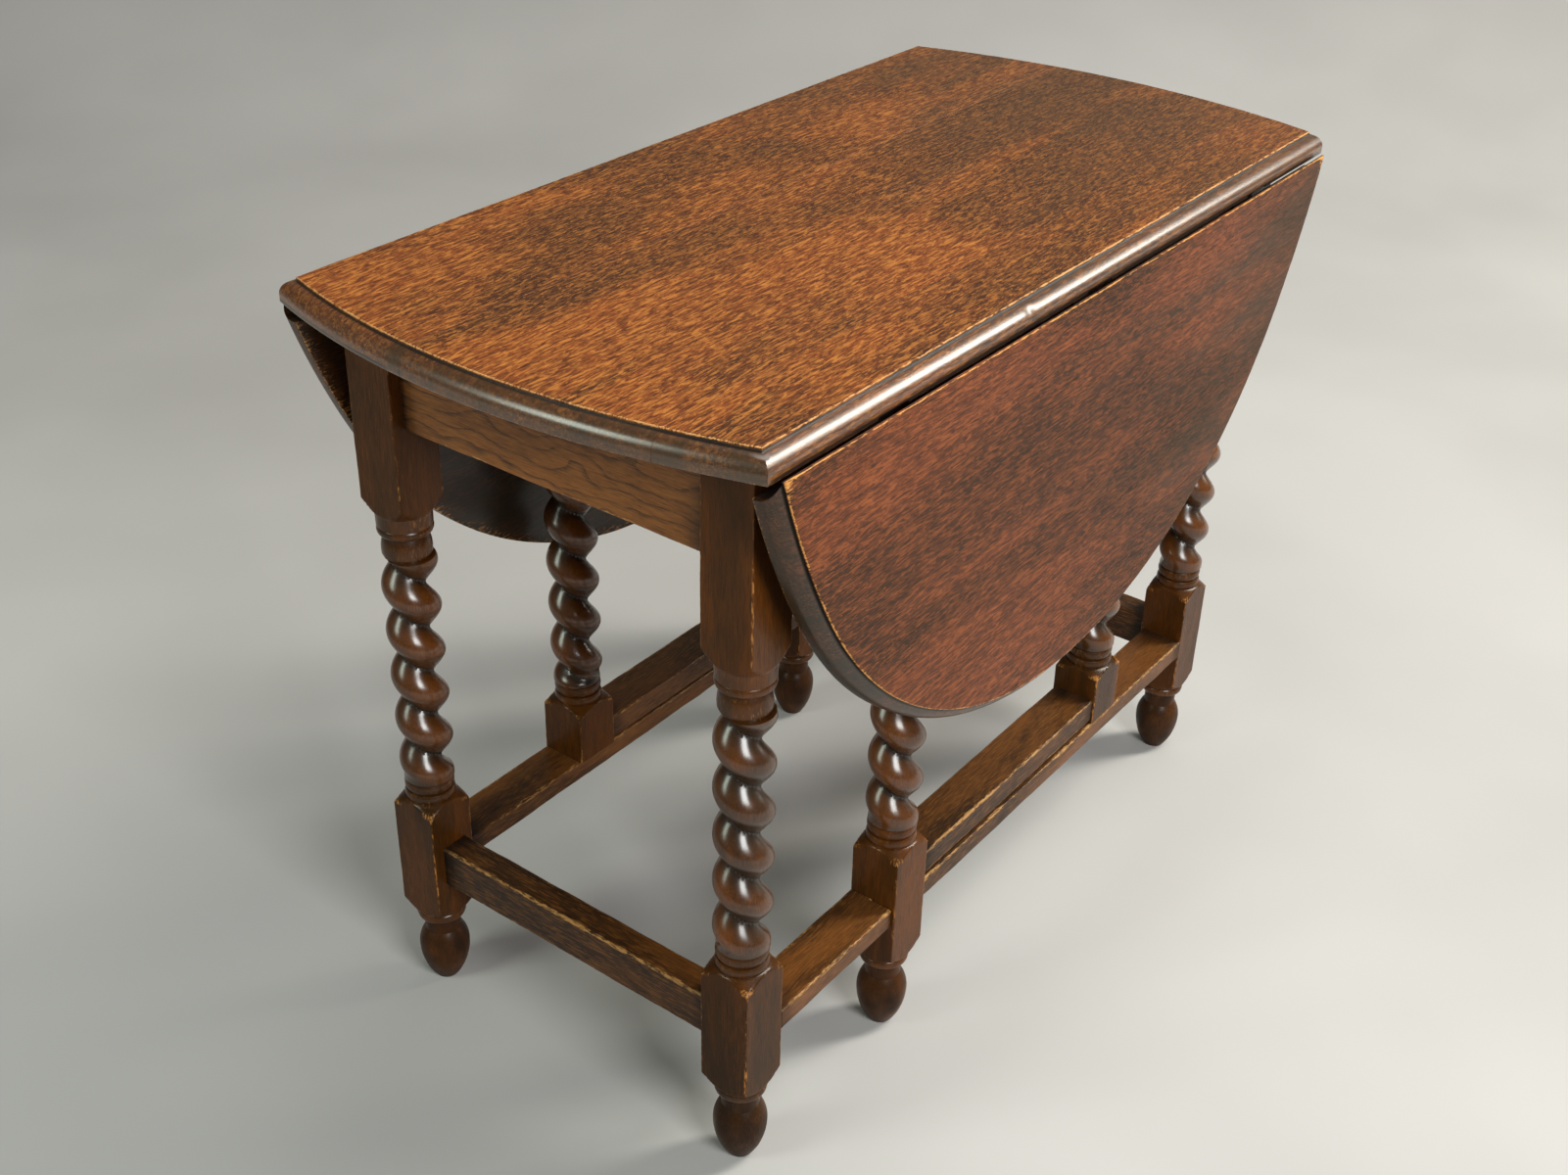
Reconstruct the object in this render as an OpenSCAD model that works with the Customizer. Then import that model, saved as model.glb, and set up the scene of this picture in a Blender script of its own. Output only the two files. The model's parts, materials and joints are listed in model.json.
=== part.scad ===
// Drop-leaf gateleg table in oak: oval top in three panels, rope-twist legs, one gate on each long side.
// Frame: X along the length, Y across, Z up, origin on the floor under the centre. Front is -Y, left is -X.

/* [Top] */
// Height of the top surface above the floor
table_h = 730; // [690:1:770]
// Half length of the oval, to the square step of its edge
oval_half_l = 474; // [440:1:520]
// Half width of the oval with both leaves up
oval_half_w = 592; // [560:1:640]
// Radius of the two flatter arcs that make the ends of the oval
end_arc_r = 760; // [700:5:900]
// Half width of the fixed middle panel, to the rule joint
panel_half_w = 230; // [210:1:250]
// Thickness of every top board
board_t = 22; // [20:0.5:26]
// Height of the square step above the moulding
step_h = 3.2; // [2:0.1:5]
// Radius of the quarter-round moulding below the step
mould_r = 12; // [9:0.5:14]
// Glue line between the front and the middle board
seam_front_y = -160; // [-180:1:-100]
// Glue line between the middle and the back board
seam_back_y = 68; // [20:1:120]

/* [Rule joint and hinges] */
// Depth of the leaf's hinge axis below the top surface
axis_drop = 19.5; // [19:0.1:20]
// Radius of the hollow worked along the leaf
hollow_r = 16.7; // [16.6:0.1:17]
// Distance of the outer hinges from the middle of the table
hinge_spacing = 300; // [250:5:330]
// Width of each hinge along its pin
hinge_w = 38; // [30:1:45]

/* [Posts] */
// Side of the square blocks
post_w = 49; // [44:0.5:54]
// Distance between the corner leg axes along the table
legs_l = 785; // [740:1:800]
// Distance between the corner leg axes across the table
legs_w = 367; // [350:1:380]
// Bottom of the lower square block
block_low_z = 99; // [92:1:104]
// Top of the lower square block
block_high_z = 210; // [200:1:216]
// Bottom of the upper square block
cap_z = 535; // [525:1:545]
// Largest radius of the rope twist
twist_r = 25.2; // [23:0.1:26]
// Radius at the bottom of the groove
groove_r = 12.5; // [10:0.5:16]
// Number of turns of the twist
turns = 5; // [4:0.5:6]
// Direction the ridge faces at its lower end
twist_phase = 264; // [0:1:359]

/* [Rails] */
// Height of the aprons
apron_h = 102; // [90:1:110]
// Thickness of the aprons
apron_t = 20; // [16:1:22]
// Setback of the aprons from the leg faces
apron_inset = 12; // [8:1:14]
// Width of the flat side stretchers
side_stretcher_w = 46; // [42:1:48]
// Height of the side stretchers
side_stretcher_h = 20.5; // [18:0.5:24]
// Underside of the side stretchers above the floor
side_stretcher_z = 139.5; // [134:0.5:144]
// Thickness of the end stretchers
end_stretcher_w = 28; // [24:1:32]
// Height of the end stretchers
end_stretcher_h = 42; // [36:1:46]

/* [Gates] */
// Distance of each pivot post from the middle of the table
pivot_x = 191; // [170:1:210]
// Distance of each gate leg from the middle of the table
gate_x = 179; // [160:1:190]
// How far the gate leg stands proud of the frame
gate_proud = 3.5; // [2:0.5:5]
// Top of the pivot post's lower block
pivot_block_z = 213; // [208:1:218]
// Height of the lower gate rail
gate_rail_h = 25; // [20:1:28]
// Width of the lower gate rail
gate_rail_w = 45; // [40:1:46]
// Height of the upper gate rail
upper_rail_h = 40; // [30:1:44]
// Thickness of the upper gate rail
upper_rail_w = 22; // [18:1:26]

/* [Hidden] */
$fn = 64;
big_fn = 240;
clear = 0.5;
over = 1;

leg_x = legs_l / 2;
leg_y = legs_w / 2;
half_w = post_w / 2;
corner_r = half_w * sqrt(2) + clear;
under_z = table_h - board_t;
mould_z = board_t - step_h - mould_r;
axis_z = table_h - axis_drop;
leaf_gap = 0.4;
hinge_xs = [-hinge_spacing, 0, hinge_spacing];

// The oval is struck from four centres: two flat end arcs and two tighter side arcs that run into them.
end_centre = end_arc_r - oval_half_l;
side_arc_r = (end_arc_r^2 - end_centre^2 - oval_half_w^2) / (2 * (end_arc_r - oval_half_w));
side_centre = oval_half_w - side_arc_r;
arc_change_y = side_centre * end_arc_r / (end_arc_r - side_arc_r);

// Turned parts of a post, from the floor up: radius, height, and radius of the arc that rounds it.
foot_r = 24;
foot_belly_z = 40;
foot_low_arc = 70;
foot_high_arc = 32;
foot_top_z = 60;
neck_r = 17.2;
bead_r = 23.3;
bead_h = 11;
bead_arc = 6.5;
shoulder_low = 12;
shoulder_high = 11;
ring_r = 22.8;
ring_h = 9;
ring_arc = 12;
groove_ring_r = 19.5;
groove_ring_h = 2;
barrel_r = 23.4;
barrel_h = 14;
barrel_arc = 14;
cap_shoulder = 15;
collar_r = 24.4;
collar_h = 12;
collar_bead_h = 8;
collar_bead_arc = 6;
high_barrel_r = 21.5;
high_barrel_h = 18;
high_barrel_arc = 22;
high_neck_r = 20.5;
high_neck_h = 3;
twist_low_z = block_high_z + shoulder_high + ring_h + groove_ring_h + barrel_h;
collar_z = cap_z - cap_shoulder - collar_h;
high_barrel_z = collar_z - collar_bead_h - groove_ring_h - high_barrel_h;
twist_high_z = high_barrel_z - high_neck_h;
section_points = 16;
slices_per_turn = 10;
ridge_power = 0.6;
run_in = 0.6;

apron_z = under_z - apron_h;
side_apron_y = leg_y + half_w - apron_inset;
end_apron_x = leg_x + half_w - apron_inset;
end_stretcher_raise = 1;
end_stretcher_inset = 1.5;
end_stretcher_z = side_stretcher_z + (side_stretcher_h - end_stretcher_h) / 2 + end_stretcher_raise;
end_stretcher_x = leg_x - end_stretcher_inset;
side_stretcher_y = leg_y + half_w - side_stretcher_w / 2;
tenon_l = 16;
apron_tenon_t = 10;
apron_tenon_h = 80;
stretcher_tenon_t = 12;
tenon_shoulder = 8;
gate_tenon_shoulder = 6;
block_side = 22;
block_l = 70;
block_xs = [-90, 90];

stretcher_top_z = side_stretcher_z + side_stretcher_h;
gate_y = leg_y + gate_proud;
gate_top_gap = 3;
pivot_gap_low = 0.3;
pivot_gap_high = 0.5;
gate_top_z = under_z - gate_top_gap;
pivot_low_z = stretcher_top_z + pivot_gap_low;
pivot_high_z = apron_z - pivot_gap_high;
gate_span = pivot_x + gate_x - post_w;
gate_middle = (pivot_x - gate_x) / 2;
pintle_r = 8;
pintle_l = 14;
top_pintle_r = 5;
top_pintle_l = 20;
fit = 0.05;
gate_rail_gap = 4;
upper_rail_gap = 5;
gate_rail_z = stretcher_top_z + gate_rail_gap;
upper_rail_z = pivot_high_z - upper_rail_h - upper_rail_gap;
lap_far = 1;
lap_near = 2.5;
lap_gap = 1.6;
lap_back = 2.5;
lap_face_y = leg_y + lap_back;
housing_d = 8;
housing_y = side_apron_y - housing_d;
tongue_gap = 2;

knuckle_r = 3;
knuckle_gap = 0.3;
middle_knuckle = hinge_w / 6;
pin_r = 1.5;
flap_t = 2;
plate_l = 30;
strap_l = 55;
screw_r = 1.75;
head_r = 3.5;
screw_l = 12;
plate_screw_ys = [10, 22];
strap_screw_ys = [28, 45];
screw_x = 12;

oak_top = "#8f5a33";
oak_leaf = "#80492b";
oak_dark = "#3a2415";
oak_apron = "#94602c";
oak_rail = "#4f3018";
brass_old = "#6d5a35";
steel_old = "#4b4740";

// ---------- shared helpers ----------

module at_back() { rotate([0, 0, 180]) children(); }

// A block centred in X and Y on the origin, with its lowest face at z.
module slab(x, y, z, h) { translate([-x / 2, -y / 2, z]) cube([x, y, h]); }

// A turned swelling from z up, r at its middle and rounded by an arc.
module swelling(z, h, r, arc) {
    translate([0, 0, z]) rotate_extrude() intersection() {
        translate([r - arc, h / 2]) circle(arc);
        square([r, h]);
    }
}

module drum(z, h, r) { translate([0, 0, z]) cylinder(r = r, h = h); }

// Square block whose ends are turned down to the round parts beside it.
module square_block(z_low, z_high, low_r, low_h, high_r, high_h) {
    intersection() {
        slab(post_w, post_w, z_low - low_h, z_high - z_low + low_h + high_h);
        rotate_extrude() polygon([
            [0, z_low - low_h], [low_r, z_low - low_h], [corner_r, z_low],
            [corner_r, z_high], [high_r, z_high + high_h], [0, z_high + high_h]
        ]);
    }
}

// One point of the twist's cross-section: a broad round ridge and a narrower groove.
function section_point(a) =
    let (r = groove_r + (twist_r - groove_r) * ((1 + cos(a)) / 2)^ridge_power) [r * cos(a), r * sin(a)];

module rope_twist() {
    translate([0, 0, twist_low_z]) rotate([0, 0, twist_phase])
        linear_extrude(twist_high_z - twist_low_z, twist = 360 * turns, slices = slices_per_turn * turns,
            $fn = section_points)
            polygon([for (i = [0:section_points - 1]) section_point(360 * i / section_points)]);
}

// Egg-shaped foot, neck and bead below the lower block.
module foot() {
    rotate_extrude() intersection() {
        translate([foot_r - foot_low_arc, foot_belly_z]) circle(foot_low_arc, $fn = big_fn);
        square([foot_r, foot_belly_z]);
    }
    rotate_extrude() intersection() {
        translate([foot_r - foot_high_arc, foot_belly_z]) circle(foot_high_arc, $fn = big_fn);
        translate([0, foot_belly_z]) square([foot_r, foot_top_z - foot_belly_z]);
    }
    bead_z = block_low_z - shoulder_low - bead_h;
    drum(foot_top_z, bead_z - foot_top_z, neck_r);
    swelling(bead_z, bead_h, bead_r, bead_arc);
}

// Everything between the lower and the upper block: rings, rope twist, barrel and collar.
module twisted_shaft() {
    ring_z = block_high_z + shoulder_high;
    swelling(ring_z, ring_h, ring_r, ring_arc);
    drum(ring_z + ring_h, groove_ring_h, groove_ring_r);
    swelling(ring_z + ring_h + groove_ring_h, barrel_h, barrel_r, barrel_arc);
    rope_twist();
    drum(twist_high_z - run_in, high_neck_h + run_in, high_neck_r);
    swelling(high_barrel_z, high_barrel_h, high_barrel_r, high_barrel_arc);
    drum(high_barrel_z + high_barrel_h, groove_ring_h, groove_ring_r);
    swelling(collar_z - collar_bead_h, collar_bead_h, collar_r, collar_bead_arc);
    drum(collar_z, collar_h, collar_r);
}

module lower_block(z_low, low_h) {
    square_block(z_low, block_high_z, bead_r, low_h, ring_r, shoulder_high);
}

module upper_block(z_high) { square_block(cap_z, z_high, collar_r, cap_shoulder, corner_r, 0); }

// Mortise or tenon for a rail: l along the rail's axis (x), from the shoulder plane at the origin inwards.
module tenon(l, w, z, h) { translate([0, -w / 2, z]) cube([l, w, h]); }

// ---------- top ----------

// Edge section of a top board: square step above, quarter round and a plain band below.
module edge_section(r) {
    square([r, board_t]);
    square([r + mould_r, mould_z]);
    translate([r, mould_z]) intersection() {
        circle(mould_r);
        square(mould_r);
    }
}

module moulded_disc(r) { rotate_extrude($fn = big_fn) edge_section(r); }

// The two flat end arcs, crossing each other.
module end_arcs() {
    intersection_for(side = [-1, 1])
        translate([side * end_centre, 0, 0]) moulded_disc(end_arc_r);
}

// The fixed panel: end arcs and two long moulded sides, mitred where they meet.
module panel_blank() {
    translate([0, 0, under_z]) intersection() {
        end_arcs();
        translate([-oval_half_w, 0, 0]) rotate([90, 0, 90]) linear_extrude(2 * oval_half_w) {
            edge_section(panel_half_w);
            mirror([1, 0]) edge_section(panel_half_w);
        }
    }
}

// Space that the hinges of one side need in the fixed panel.
module panel_hinge_space() {
    for (x = hinge_xs) translate([x, 0, 0]) {
        translate([-hinge_w / 2 - clear, -panel_half_w - mould_r - over, under_z - over])
            cube([hinge_w + 2 * clear, mould_r + over + plate_l, flap_t + over]);
        translate([-hinge_w / 2 - clear, -panel_half_w - mould_r - over, under_z - over])
            cube([hinge_w + 2 * clear, mould_r + knuckle_r + 2 * over, flap_t + over + clear]);
        translate([0, -panel_half_w, axis_z]) rotate([0, 90, 0])
            cylinder(r = knuckle_r + clear, h = hinge_w + 2 * clear, center = true);
    }
}

module top_board(y_low, y_high) {
    difference() {
        intersection() {
            panel_blank();
            translate([-oval_half_w, y_low, under_z - over])
                cube([2 * oval_half_w, y_high - y_low, board_t + 2 * over]);
        }
        if (y_low < -panel_half_w) {
            panel_hinge_space();
            plate_screw_solids();
        }
        if (y_high > panel_half_w) at_back() {
            panel_hinge_space();
            plate_screw_solids();
        }
    }
}

module top_board_front() { color(oak_top) top_board(-oval_half_w, seam_front_y); }

module top_board_middle() { color(oak_top) top_board(seam_front_y, seam_back_y); }

module top_board_back() { color(oak_top) top_board(seam_back_y, oval_half_w); }

// Inner board of the front leaf as it lies when raised: end arcs, hollowed along the rule joint.
module leaf_inner_raised() {
    difference() {
        translate([0, 0, under_z]) intersection() {
            end_arcs();
            translate([-oval_half_w, -arc_change_y, -over])
                cube([2 * oval_half_w, arc_change_y - panel_half_w - leaf_gap, board_t + 2 * over]);
        }
        translate([0, -panel_half_w, axis_z]) rotate([0, 90, 0])
            cylinder(r = hollow_r, h = 2 * oval_half_w, center = true, $fn = big_fn);
        for (x = hinge_xs)
            translate([x - hinge_w / 2, -panel_half_w - strap_l, under_z - over])
                cube([hinge_w, strap_l, flap_t + over]);
        strap_screws_raised();
    }
}

// Outer board of the front leaf as it lies when raised: the tighter side arc.
module leaf_outer_raised() {
    translate([0, 0, under_z]) intersection() {
        translate([0, -side_centre, 0]) moulded_disc(side_arc_r);
        translate([-oval_half_w, -2 * oval_half_w, -over])
            cube([2 * oval_half_w, 2 * oval_half_w - arc_change_y, board_t + 2 * over]);
    }
}

// Lets a raised front piece down about the rule joint's axis, so that it hangs.
module hanging() {
    translate([0, -panel_half_w, axis_z]) rotate([90, 0, 0])
        translate([0, panel_half_w, -axis_z]) children();
}

module leaf_front_inner() { color(oak_leaf) hanging() leaf_inner_raised(); }

module leaf_front_outer() { color(oak_leaf) hanging() leaf_outer_raised(); }

module leaf_back_inner() { color(oak_leaf) at_back() hanging() leaf_inner_raised(); }

module leaf_back_outer() { color(oak_leaf) at_back() hanging() leaf_outer_raised(); }

// ---------- hinges ----------

module knuckle(x_low, x_high, bore) {
    translate([x_low, -panel_half_w, axis_z]) rotate([0, 90, 0]) difference() {
        cylinder(r = knuckle_r, h = x_high - x_low);
        translate([0, 0, -over]) cylinder(r = bore, h = x_high - x_low + 2 * over);
    }
}

module countersunk(z) {
    translate([0, 0, z]) {
        cylinder(r1 = head_r, r2 = screw_r, h = flap_t);
        translate([0, 0, flap_t]) cylinder(r = screw_r, h = screw_l - flap_t);
    }
}

module plate_screw_solids() {
    for (x = hinge_xs, side = [-1, 1], y = plate_screw_ys)
        translate([x + side * screw_x, -panel_half_w + y, 0]) countersunk(under_z);
}

module strap_screws_raised() {
    for (x = hinge_xs, side = [-1, 1], y = strap_screw_ys)
        translate([x + side * screw_x, -panel_half_w - y, 0]) countersunk(under_z);
}

// Fixed flaps, let into the panel, with the two outer knuckles.
module hinge_plates() {
    difference() {
        for (x = hinge_xs) translate([x, 0, 0]) {
            difference() {
                translate([-hinge_w / 2, -panel_half_w, under_z]) cube([hinge_w, plate_l, flap_t]);
                translate([-hinge_w, -panel_half_w, axis_z]) rotate([0, 90, 0])
                    cylinder(r = pin_r, h = 2 * hinge_w);
                translate([-middle_knuckle - knuckle_gap, -panel_half_w - over, under_z - over])
                    cube([2 * (middle_knuckle + knuckle_gap), knuckle_r + clear + over, flap_t + 2 * over]);
            }
            knuckle(-hinge_w / 2, -middle_knuckle - knuckle_gap, pin_r);
            knuckle(middle_knuckle + knuckle_gap, hinge_w / 2, pin_r);
        }
        plate_screw_solids();
    }
}

// Moving straps, let into the leaf, with the middle knuckle; drawn raised.
module hinge_straps_raised() {
    difference() {
        for (x = hinge_xs) translate([x, 0, 0]) {
            translate([-hinge_w / 2, -panel_half_w - strap_l, under_z])
                cube([hinge_w, strap_l - knuckle_r - clear, flap_t]);
            difference() {
                translate([-middle_knuckle, -panel_half_w - knuckle_r - clear, under_z])
                    cube([2 * middle_knuckle, knuckle_r + clear, flap_t]);
                translate([-hinge_w, -panel_half_w, axis_z]) rotate([0, 90, 0])
                    cylinder(r = pin_r + fit, h = 2 * hinge_w);
            }
            knuckle(-middle_knuckle, middle_knuckle, pin_r + fit);
        }
        strap_screws_raised();
    }
}

module hinge_pins() {
    for (x = hinge_xs)
        translate([x - hinge_w / 2, -panel_half_w, axis_z]) rotate([0, 90, 0])
            cylinder(r = pin_r, h = hinge_w);
}

module hinge_plates_front() { color(brass_old) hinge_plates(); }

module hinge_plates_back() { color(brass_old) at_back() hinge_plates(); }

module hinge_straps_front() { color(brass_old) hanging() hinge_straps_raised(); }

module hinge_straps_back() { color(brass_old) at_back() hanging() hinge_straps_raised(); }

module hinge_pins_front() { color(steel_old) hinge_pins(); }

module hinge_pins_back() { color(steel_old) at_back() hinge_pins(); }

module plate_screws_front() { color(steel_old) plate_screw_solids(); }

module plate_screws_back() { color(steel_old) at_back() plate_screw_solids(); }

module strap_screws_front() { color(steel_old) hanging() strap_screws_raised(); }

module strap_screws_back() { color(steel_old) at_back() hanging() strap_screws_raised(); }

// ---------- corner legs and fixed rails ----------

// Tenons of the end and side rails as the front left corner leg receives them, in the leg's own frame.
module leg_mortises() {
    translate([half_w, leg_y - side_stretcher_y, 0]) mirror([1, 0, 0]) side_stretcher_tenon();
    translate([half_w, leg_y - side_apron_y + apron_t / 2, 0]) mirror([1, 0, 0]) apron_tenon();
    translate([leg_x - end_stretcher_x, half_w, 0]) rotate([0, 0, -90]) end_stretcher_tenon();
    translate([leg_x - end_apron_x + apron_t / 2, half_w, 0]) rotate([0, 0, -90]) apron_tenon();
}

module side_stretcher_tenon() {
    tenon(tenon_l, side_stretcher_w - 2 * tenon_shoulder,
        stretcher_top_z - (side_stretcher_h + stretcher_tenon_t) / 2, stretcher_tenon_t);
}

module end_stretcher_tenon() {
    tenon(tenon_l, stretcher_tenon_t, end_stretcher_z + tenon_shoulder,
        end_stretcher_h - 2 * tenon_shoulder);
}

module apron_tenon() {
    tenon(tenon_l, apron_tenon_t, apron_z + (apron_h - apron_tenon_h) / 2, apron_tenon_h);
}

module corner_leg(sx, sy) {
    color(oak_dark) translate([sx * leg_x, sy * leg_y, 0]) {
        foot();
        mirror([sx > 0 ? 1 : 0, 0, 0]) mirror([0, sy > 0 ? 1 : 0, 0]) difference() {
            union() {
                lower_block(block_low_z, shoulder_low);
                upper_block(under_z);
            }
            leg_mortises();
        }
        twisted_shaft();
    }
}

module leg_front_left() { corner_leg(-1, -1); }

module leg_front_right() { corner_leg(1, -1); }

module leg_back_left() { corner_leg(-1, 1); }

module leg_back_right() { corner_leg(1, 1); }

// A rail along X between two corner legs, w wide and centred on y, with a tenon at each end.
module long_rail(y, w, z, h) {
    span = legs_l - post_w;
    translate([0, y, 0]) {
        slab(span, w, z, h);
        for (m = [0, 1]) mirror([m, 0, 0]) translate([span / 2, 0, 0]) children();
    }
}

// A rail along Y between the two legs of one end.
module short_rail(x, w, z, h) {
    span = legs_w - post_w;
    translate([x, 0, 0]) {
        slab(w, span, z, h);
        for (m = [0, 1]) mirror([0, m, 0]) translate([0, span / 2, 0]) rotate([0, 0, 90]) children();
    }
}

module end_apron() { short_rail(-end_apron_x + apron_t / 2, apron_t, apron_z, apron_h) apron_tenon(); }

module end_apron_left() { color(oak_apron) end_apron(); }

module end_apron_right() { color(oak_apron) at_back() end_apron(); }

module end_stretcher() {
    short_rail(-end_stretcher_x, end_stretcher_w, end_stretcher_z, end_stretcher_h) end_stretcher_tenon();
}

module end_stretcher_left() { color(oak_rail) end_stretcher(); }

module end_stretcher_right() { color(oak_rail) at_back() end_stretcher(); }

// Side apron, with the housing that takes the top of the gate leg and the bore for the pivot post.
module side_apron() {
    difference() {
        long_rail(-side_apron_y + apron_t / 2, apron_t, apron_z, apron_h) apron_tenon();
        translate([-gate_x - half_w - lap_far, -side_apron_y - over, apron_z - over])
            cube([post_w + lap_far + lap_near, housing_d + over, apron_h + 2 * over]);
        translate([pivot_x, -leg_y, apron_z - over])
            cylinder(r = top_pintle_r + fit, h = top_pintle_l + 2 * over);
    }
}

module side_apron_front() { color(oak_apron) side_apron(); }

module side_apron_back() { color(oak_apron) at_back() side_apron(); }

// Side stretcher, halved where the gate leg closes over it and bored for the pivot post.
module side_stretcher() {
    difference() {
        long_rail(-side_stretcher_y, side_stretcher_w, side_stretcher_z, side_stretcher_h)
            side_stretcher_tenon();
        translate([-gate_x - half_w - lap_far, -leg_y - half_w - over, side_stretcher_z - over])
            cube([post_w + lap_far + lap_near, leg_y + half_w + over - lap_face_y,
                side_stretcher_h + 2 * over]);
        translate([pivot_x, -leg_y, stretcher_top_z - pintle_l - over])
            cylinder(r = pintle_r + fit, h = pintle_l + 2 * over);
    }
}

module side_stretcher_front() { color(oak_rail) side_stretcher(); }

module side_stretcher_back() { color(oak_rail) at_back() side_stretcher(); }

// Triangular blocks glued in the angle between the aprons and the top.
module glue_blocks() {
    color(oak_rail) for (turn = [0, 180]) rotate([0, 0, turn]) {
        for (x = block_xs)
            translate([x - block_l / 2, -side_apron_y + apron_t, under_z]) rotate([90, 0, 90])
                linear_extrude(block_l) polygon([[0, 0], [block_side, 0], [0, -block_side]]);
        translate([-end_apron_x + apron_t, block_l / 2, under_z]) rotate([90, 0, 0])
            linear_extrude(block_l) polygon([[0, 0], [block_side, 0], [0, -block_side]]);
    }
}

// ---------- gates ----------

module gate_tenon(w, z, h) {
    tenon(tenon_l, w - 2 * gate_tenon_shoulder, z + gate_tenon_shoulder, h - 2 * gate_tenon_shoulder);
}

module lower_rail_tenon() { gate_tenon(gate_rail_w, gate_rail_z, gate_rail_h); }

module upper_rail_tenon() { gate_tenon(upper_rail_w, upper_rail_z, upper_rail_h); }

module gate_tenons() {
    lower_rail_tenon();
    upper_rail_tenon();
}

// Post that stands on the side stretcher and turns on a pin at each end.
module pivot_post() {
    translate([pivot_x, -leg_y, 0]) {
        difference() {
            union() {
                square_block(pivot_low_z, pivot_block_z, corner_r, 0, ring_r,
                    block_high_z + shoulder_high - pivot_block_z);
                upper_block(pivot_high_z);
            }
            translate([-half_w, 0, 0]) gate_tenons();
        }
        drum(pivot_low_z - pintle_l, pintle_l, pintle_r);
        drum(pivot_high_z, top_pintle_l, top_pintle_r);
        twisted_shaft();
    }
}

// Leg at the free side of the gate, halved over the side stretcher and in front of the side apron.
module gate_leg() {
    translate([-gate_x, -gate_y, 0]) {
        foot();
        difference() {
            union() {
                lower_block(block_low_z, shoulder_low);
                upper_block(gate_top_z);
            }
            translate([-half_w - over, gate_y - lap_face_y - lap_gap, side_stretcher_z - over])
                cube([post_w + 2 * over, post_w, side_stretcher_h + 2 * over]);
            translate([-half_w - over, gate_y - housing_y - tongue_gap, apron_z - tongue_gap])
                cube([post_w + 2 * over, post_w, apron_h + 2 * tongue_gap]);
            translate([half_w, gate_proud, 0]) mirror([1, 0, 0]) gate_tenons();
        }
        twisted_shaft();
    }
}

// A gate rail between the pivot post and the gate leg.
module gate_rail(w, z, h) {
    translate([gate_middle, -leg_y, 0]) {
        slab(gate_span, w, z, h);
        for (m = [0, 1]) mirror([m, 0, 0]) translate([gate_span / 2, 0, 0]) children();
    }
}

module pivot_post_front() { color(oak_dark) pivot_post(); }

module pivot_post_back() { color(oak_dark) at_back() pivot_post(); }

module gate_leg_front() { color(oak_dark) gate_leg(); }

module gate_leg_back() { color(oak_dark) at_back() gate_leg(); }

module gate_upper_rail() { gate_rail(upper_rail_w, upper_rail_z, upper_rail_h) upper_rail_tenon(); }

module gate_upper_rail_front() { color(oak_rail) gate_upper_rail(); }

module gate_upper_rail_back() { color(oak_rail) at_back() gate_upper_rail(); }

module gate_lower_rail() { gate_rail(gate_rail_w, gate_rail_z, gate_rail_h) lower_rail_tenon(); }

module gate_lower_rail_front() { color(oak_rail) gate_lower_rail(); }

module gate_lower_rail_back() { color(oak_rail) at_back() gate_lower_rail(); }

top_board_front();
top_board_middle();
top_board_back();
leaf_front_inner();
leaf_front_outer();
leaf_back_inner();
leaf_back_outer();
leg_front_left();
leg_front_right();
leg_back_left();
leg_back_right();
end_apron_left();
end_apron_right();
side_apron_front();
side_apron_back();
end_stretcher_left();
end_stretcher_right();
side_stretcher_front();
side_stretcher_back();
pivot_post_front();
pivot_post_back();
gate_leg_front();
gate_leg_back();
gate_upper_rail_front();
gate_upper_rail_back();
gate_lower_rail_front();
gate_lower_rail_back();
hinge_plates_front();
hinge_plates_back();
hinge_straps_front();
hinge_straps_back();
hinge_pins_front();
hinge_pins_back();
plate_screws_front();
plate_screws_back();
strap_screws_front();
strap_screws_back();
glue_blocks();
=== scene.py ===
"""Looks of the oak gateleg table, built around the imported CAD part.

Units are metres, in the part's own frame.
"""
import itertools
import json
import math

import bmesh
import bpy
import numpy as np
from mathutils import Matrix, Vector


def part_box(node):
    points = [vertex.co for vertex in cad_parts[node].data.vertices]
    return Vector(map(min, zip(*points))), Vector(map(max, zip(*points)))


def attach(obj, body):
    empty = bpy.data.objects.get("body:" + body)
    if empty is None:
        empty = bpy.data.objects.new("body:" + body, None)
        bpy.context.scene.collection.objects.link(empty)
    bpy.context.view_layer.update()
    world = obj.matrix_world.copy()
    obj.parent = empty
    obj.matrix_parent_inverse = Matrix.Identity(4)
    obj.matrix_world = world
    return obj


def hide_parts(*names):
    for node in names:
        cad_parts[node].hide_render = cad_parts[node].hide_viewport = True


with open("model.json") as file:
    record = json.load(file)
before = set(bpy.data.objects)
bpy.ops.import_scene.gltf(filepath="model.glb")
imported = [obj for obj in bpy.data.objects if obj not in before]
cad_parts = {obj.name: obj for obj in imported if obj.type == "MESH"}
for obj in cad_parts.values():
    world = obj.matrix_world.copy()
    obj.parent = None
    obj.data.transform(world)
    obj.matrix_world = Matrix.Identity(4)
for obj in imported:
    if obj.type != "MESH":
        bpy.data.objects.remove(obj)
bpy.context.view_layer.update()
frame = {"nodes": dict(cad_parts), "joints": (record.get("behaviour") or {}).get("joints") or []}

MM = 0.001

# ---------- sizes shared with the part ----------

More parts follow.
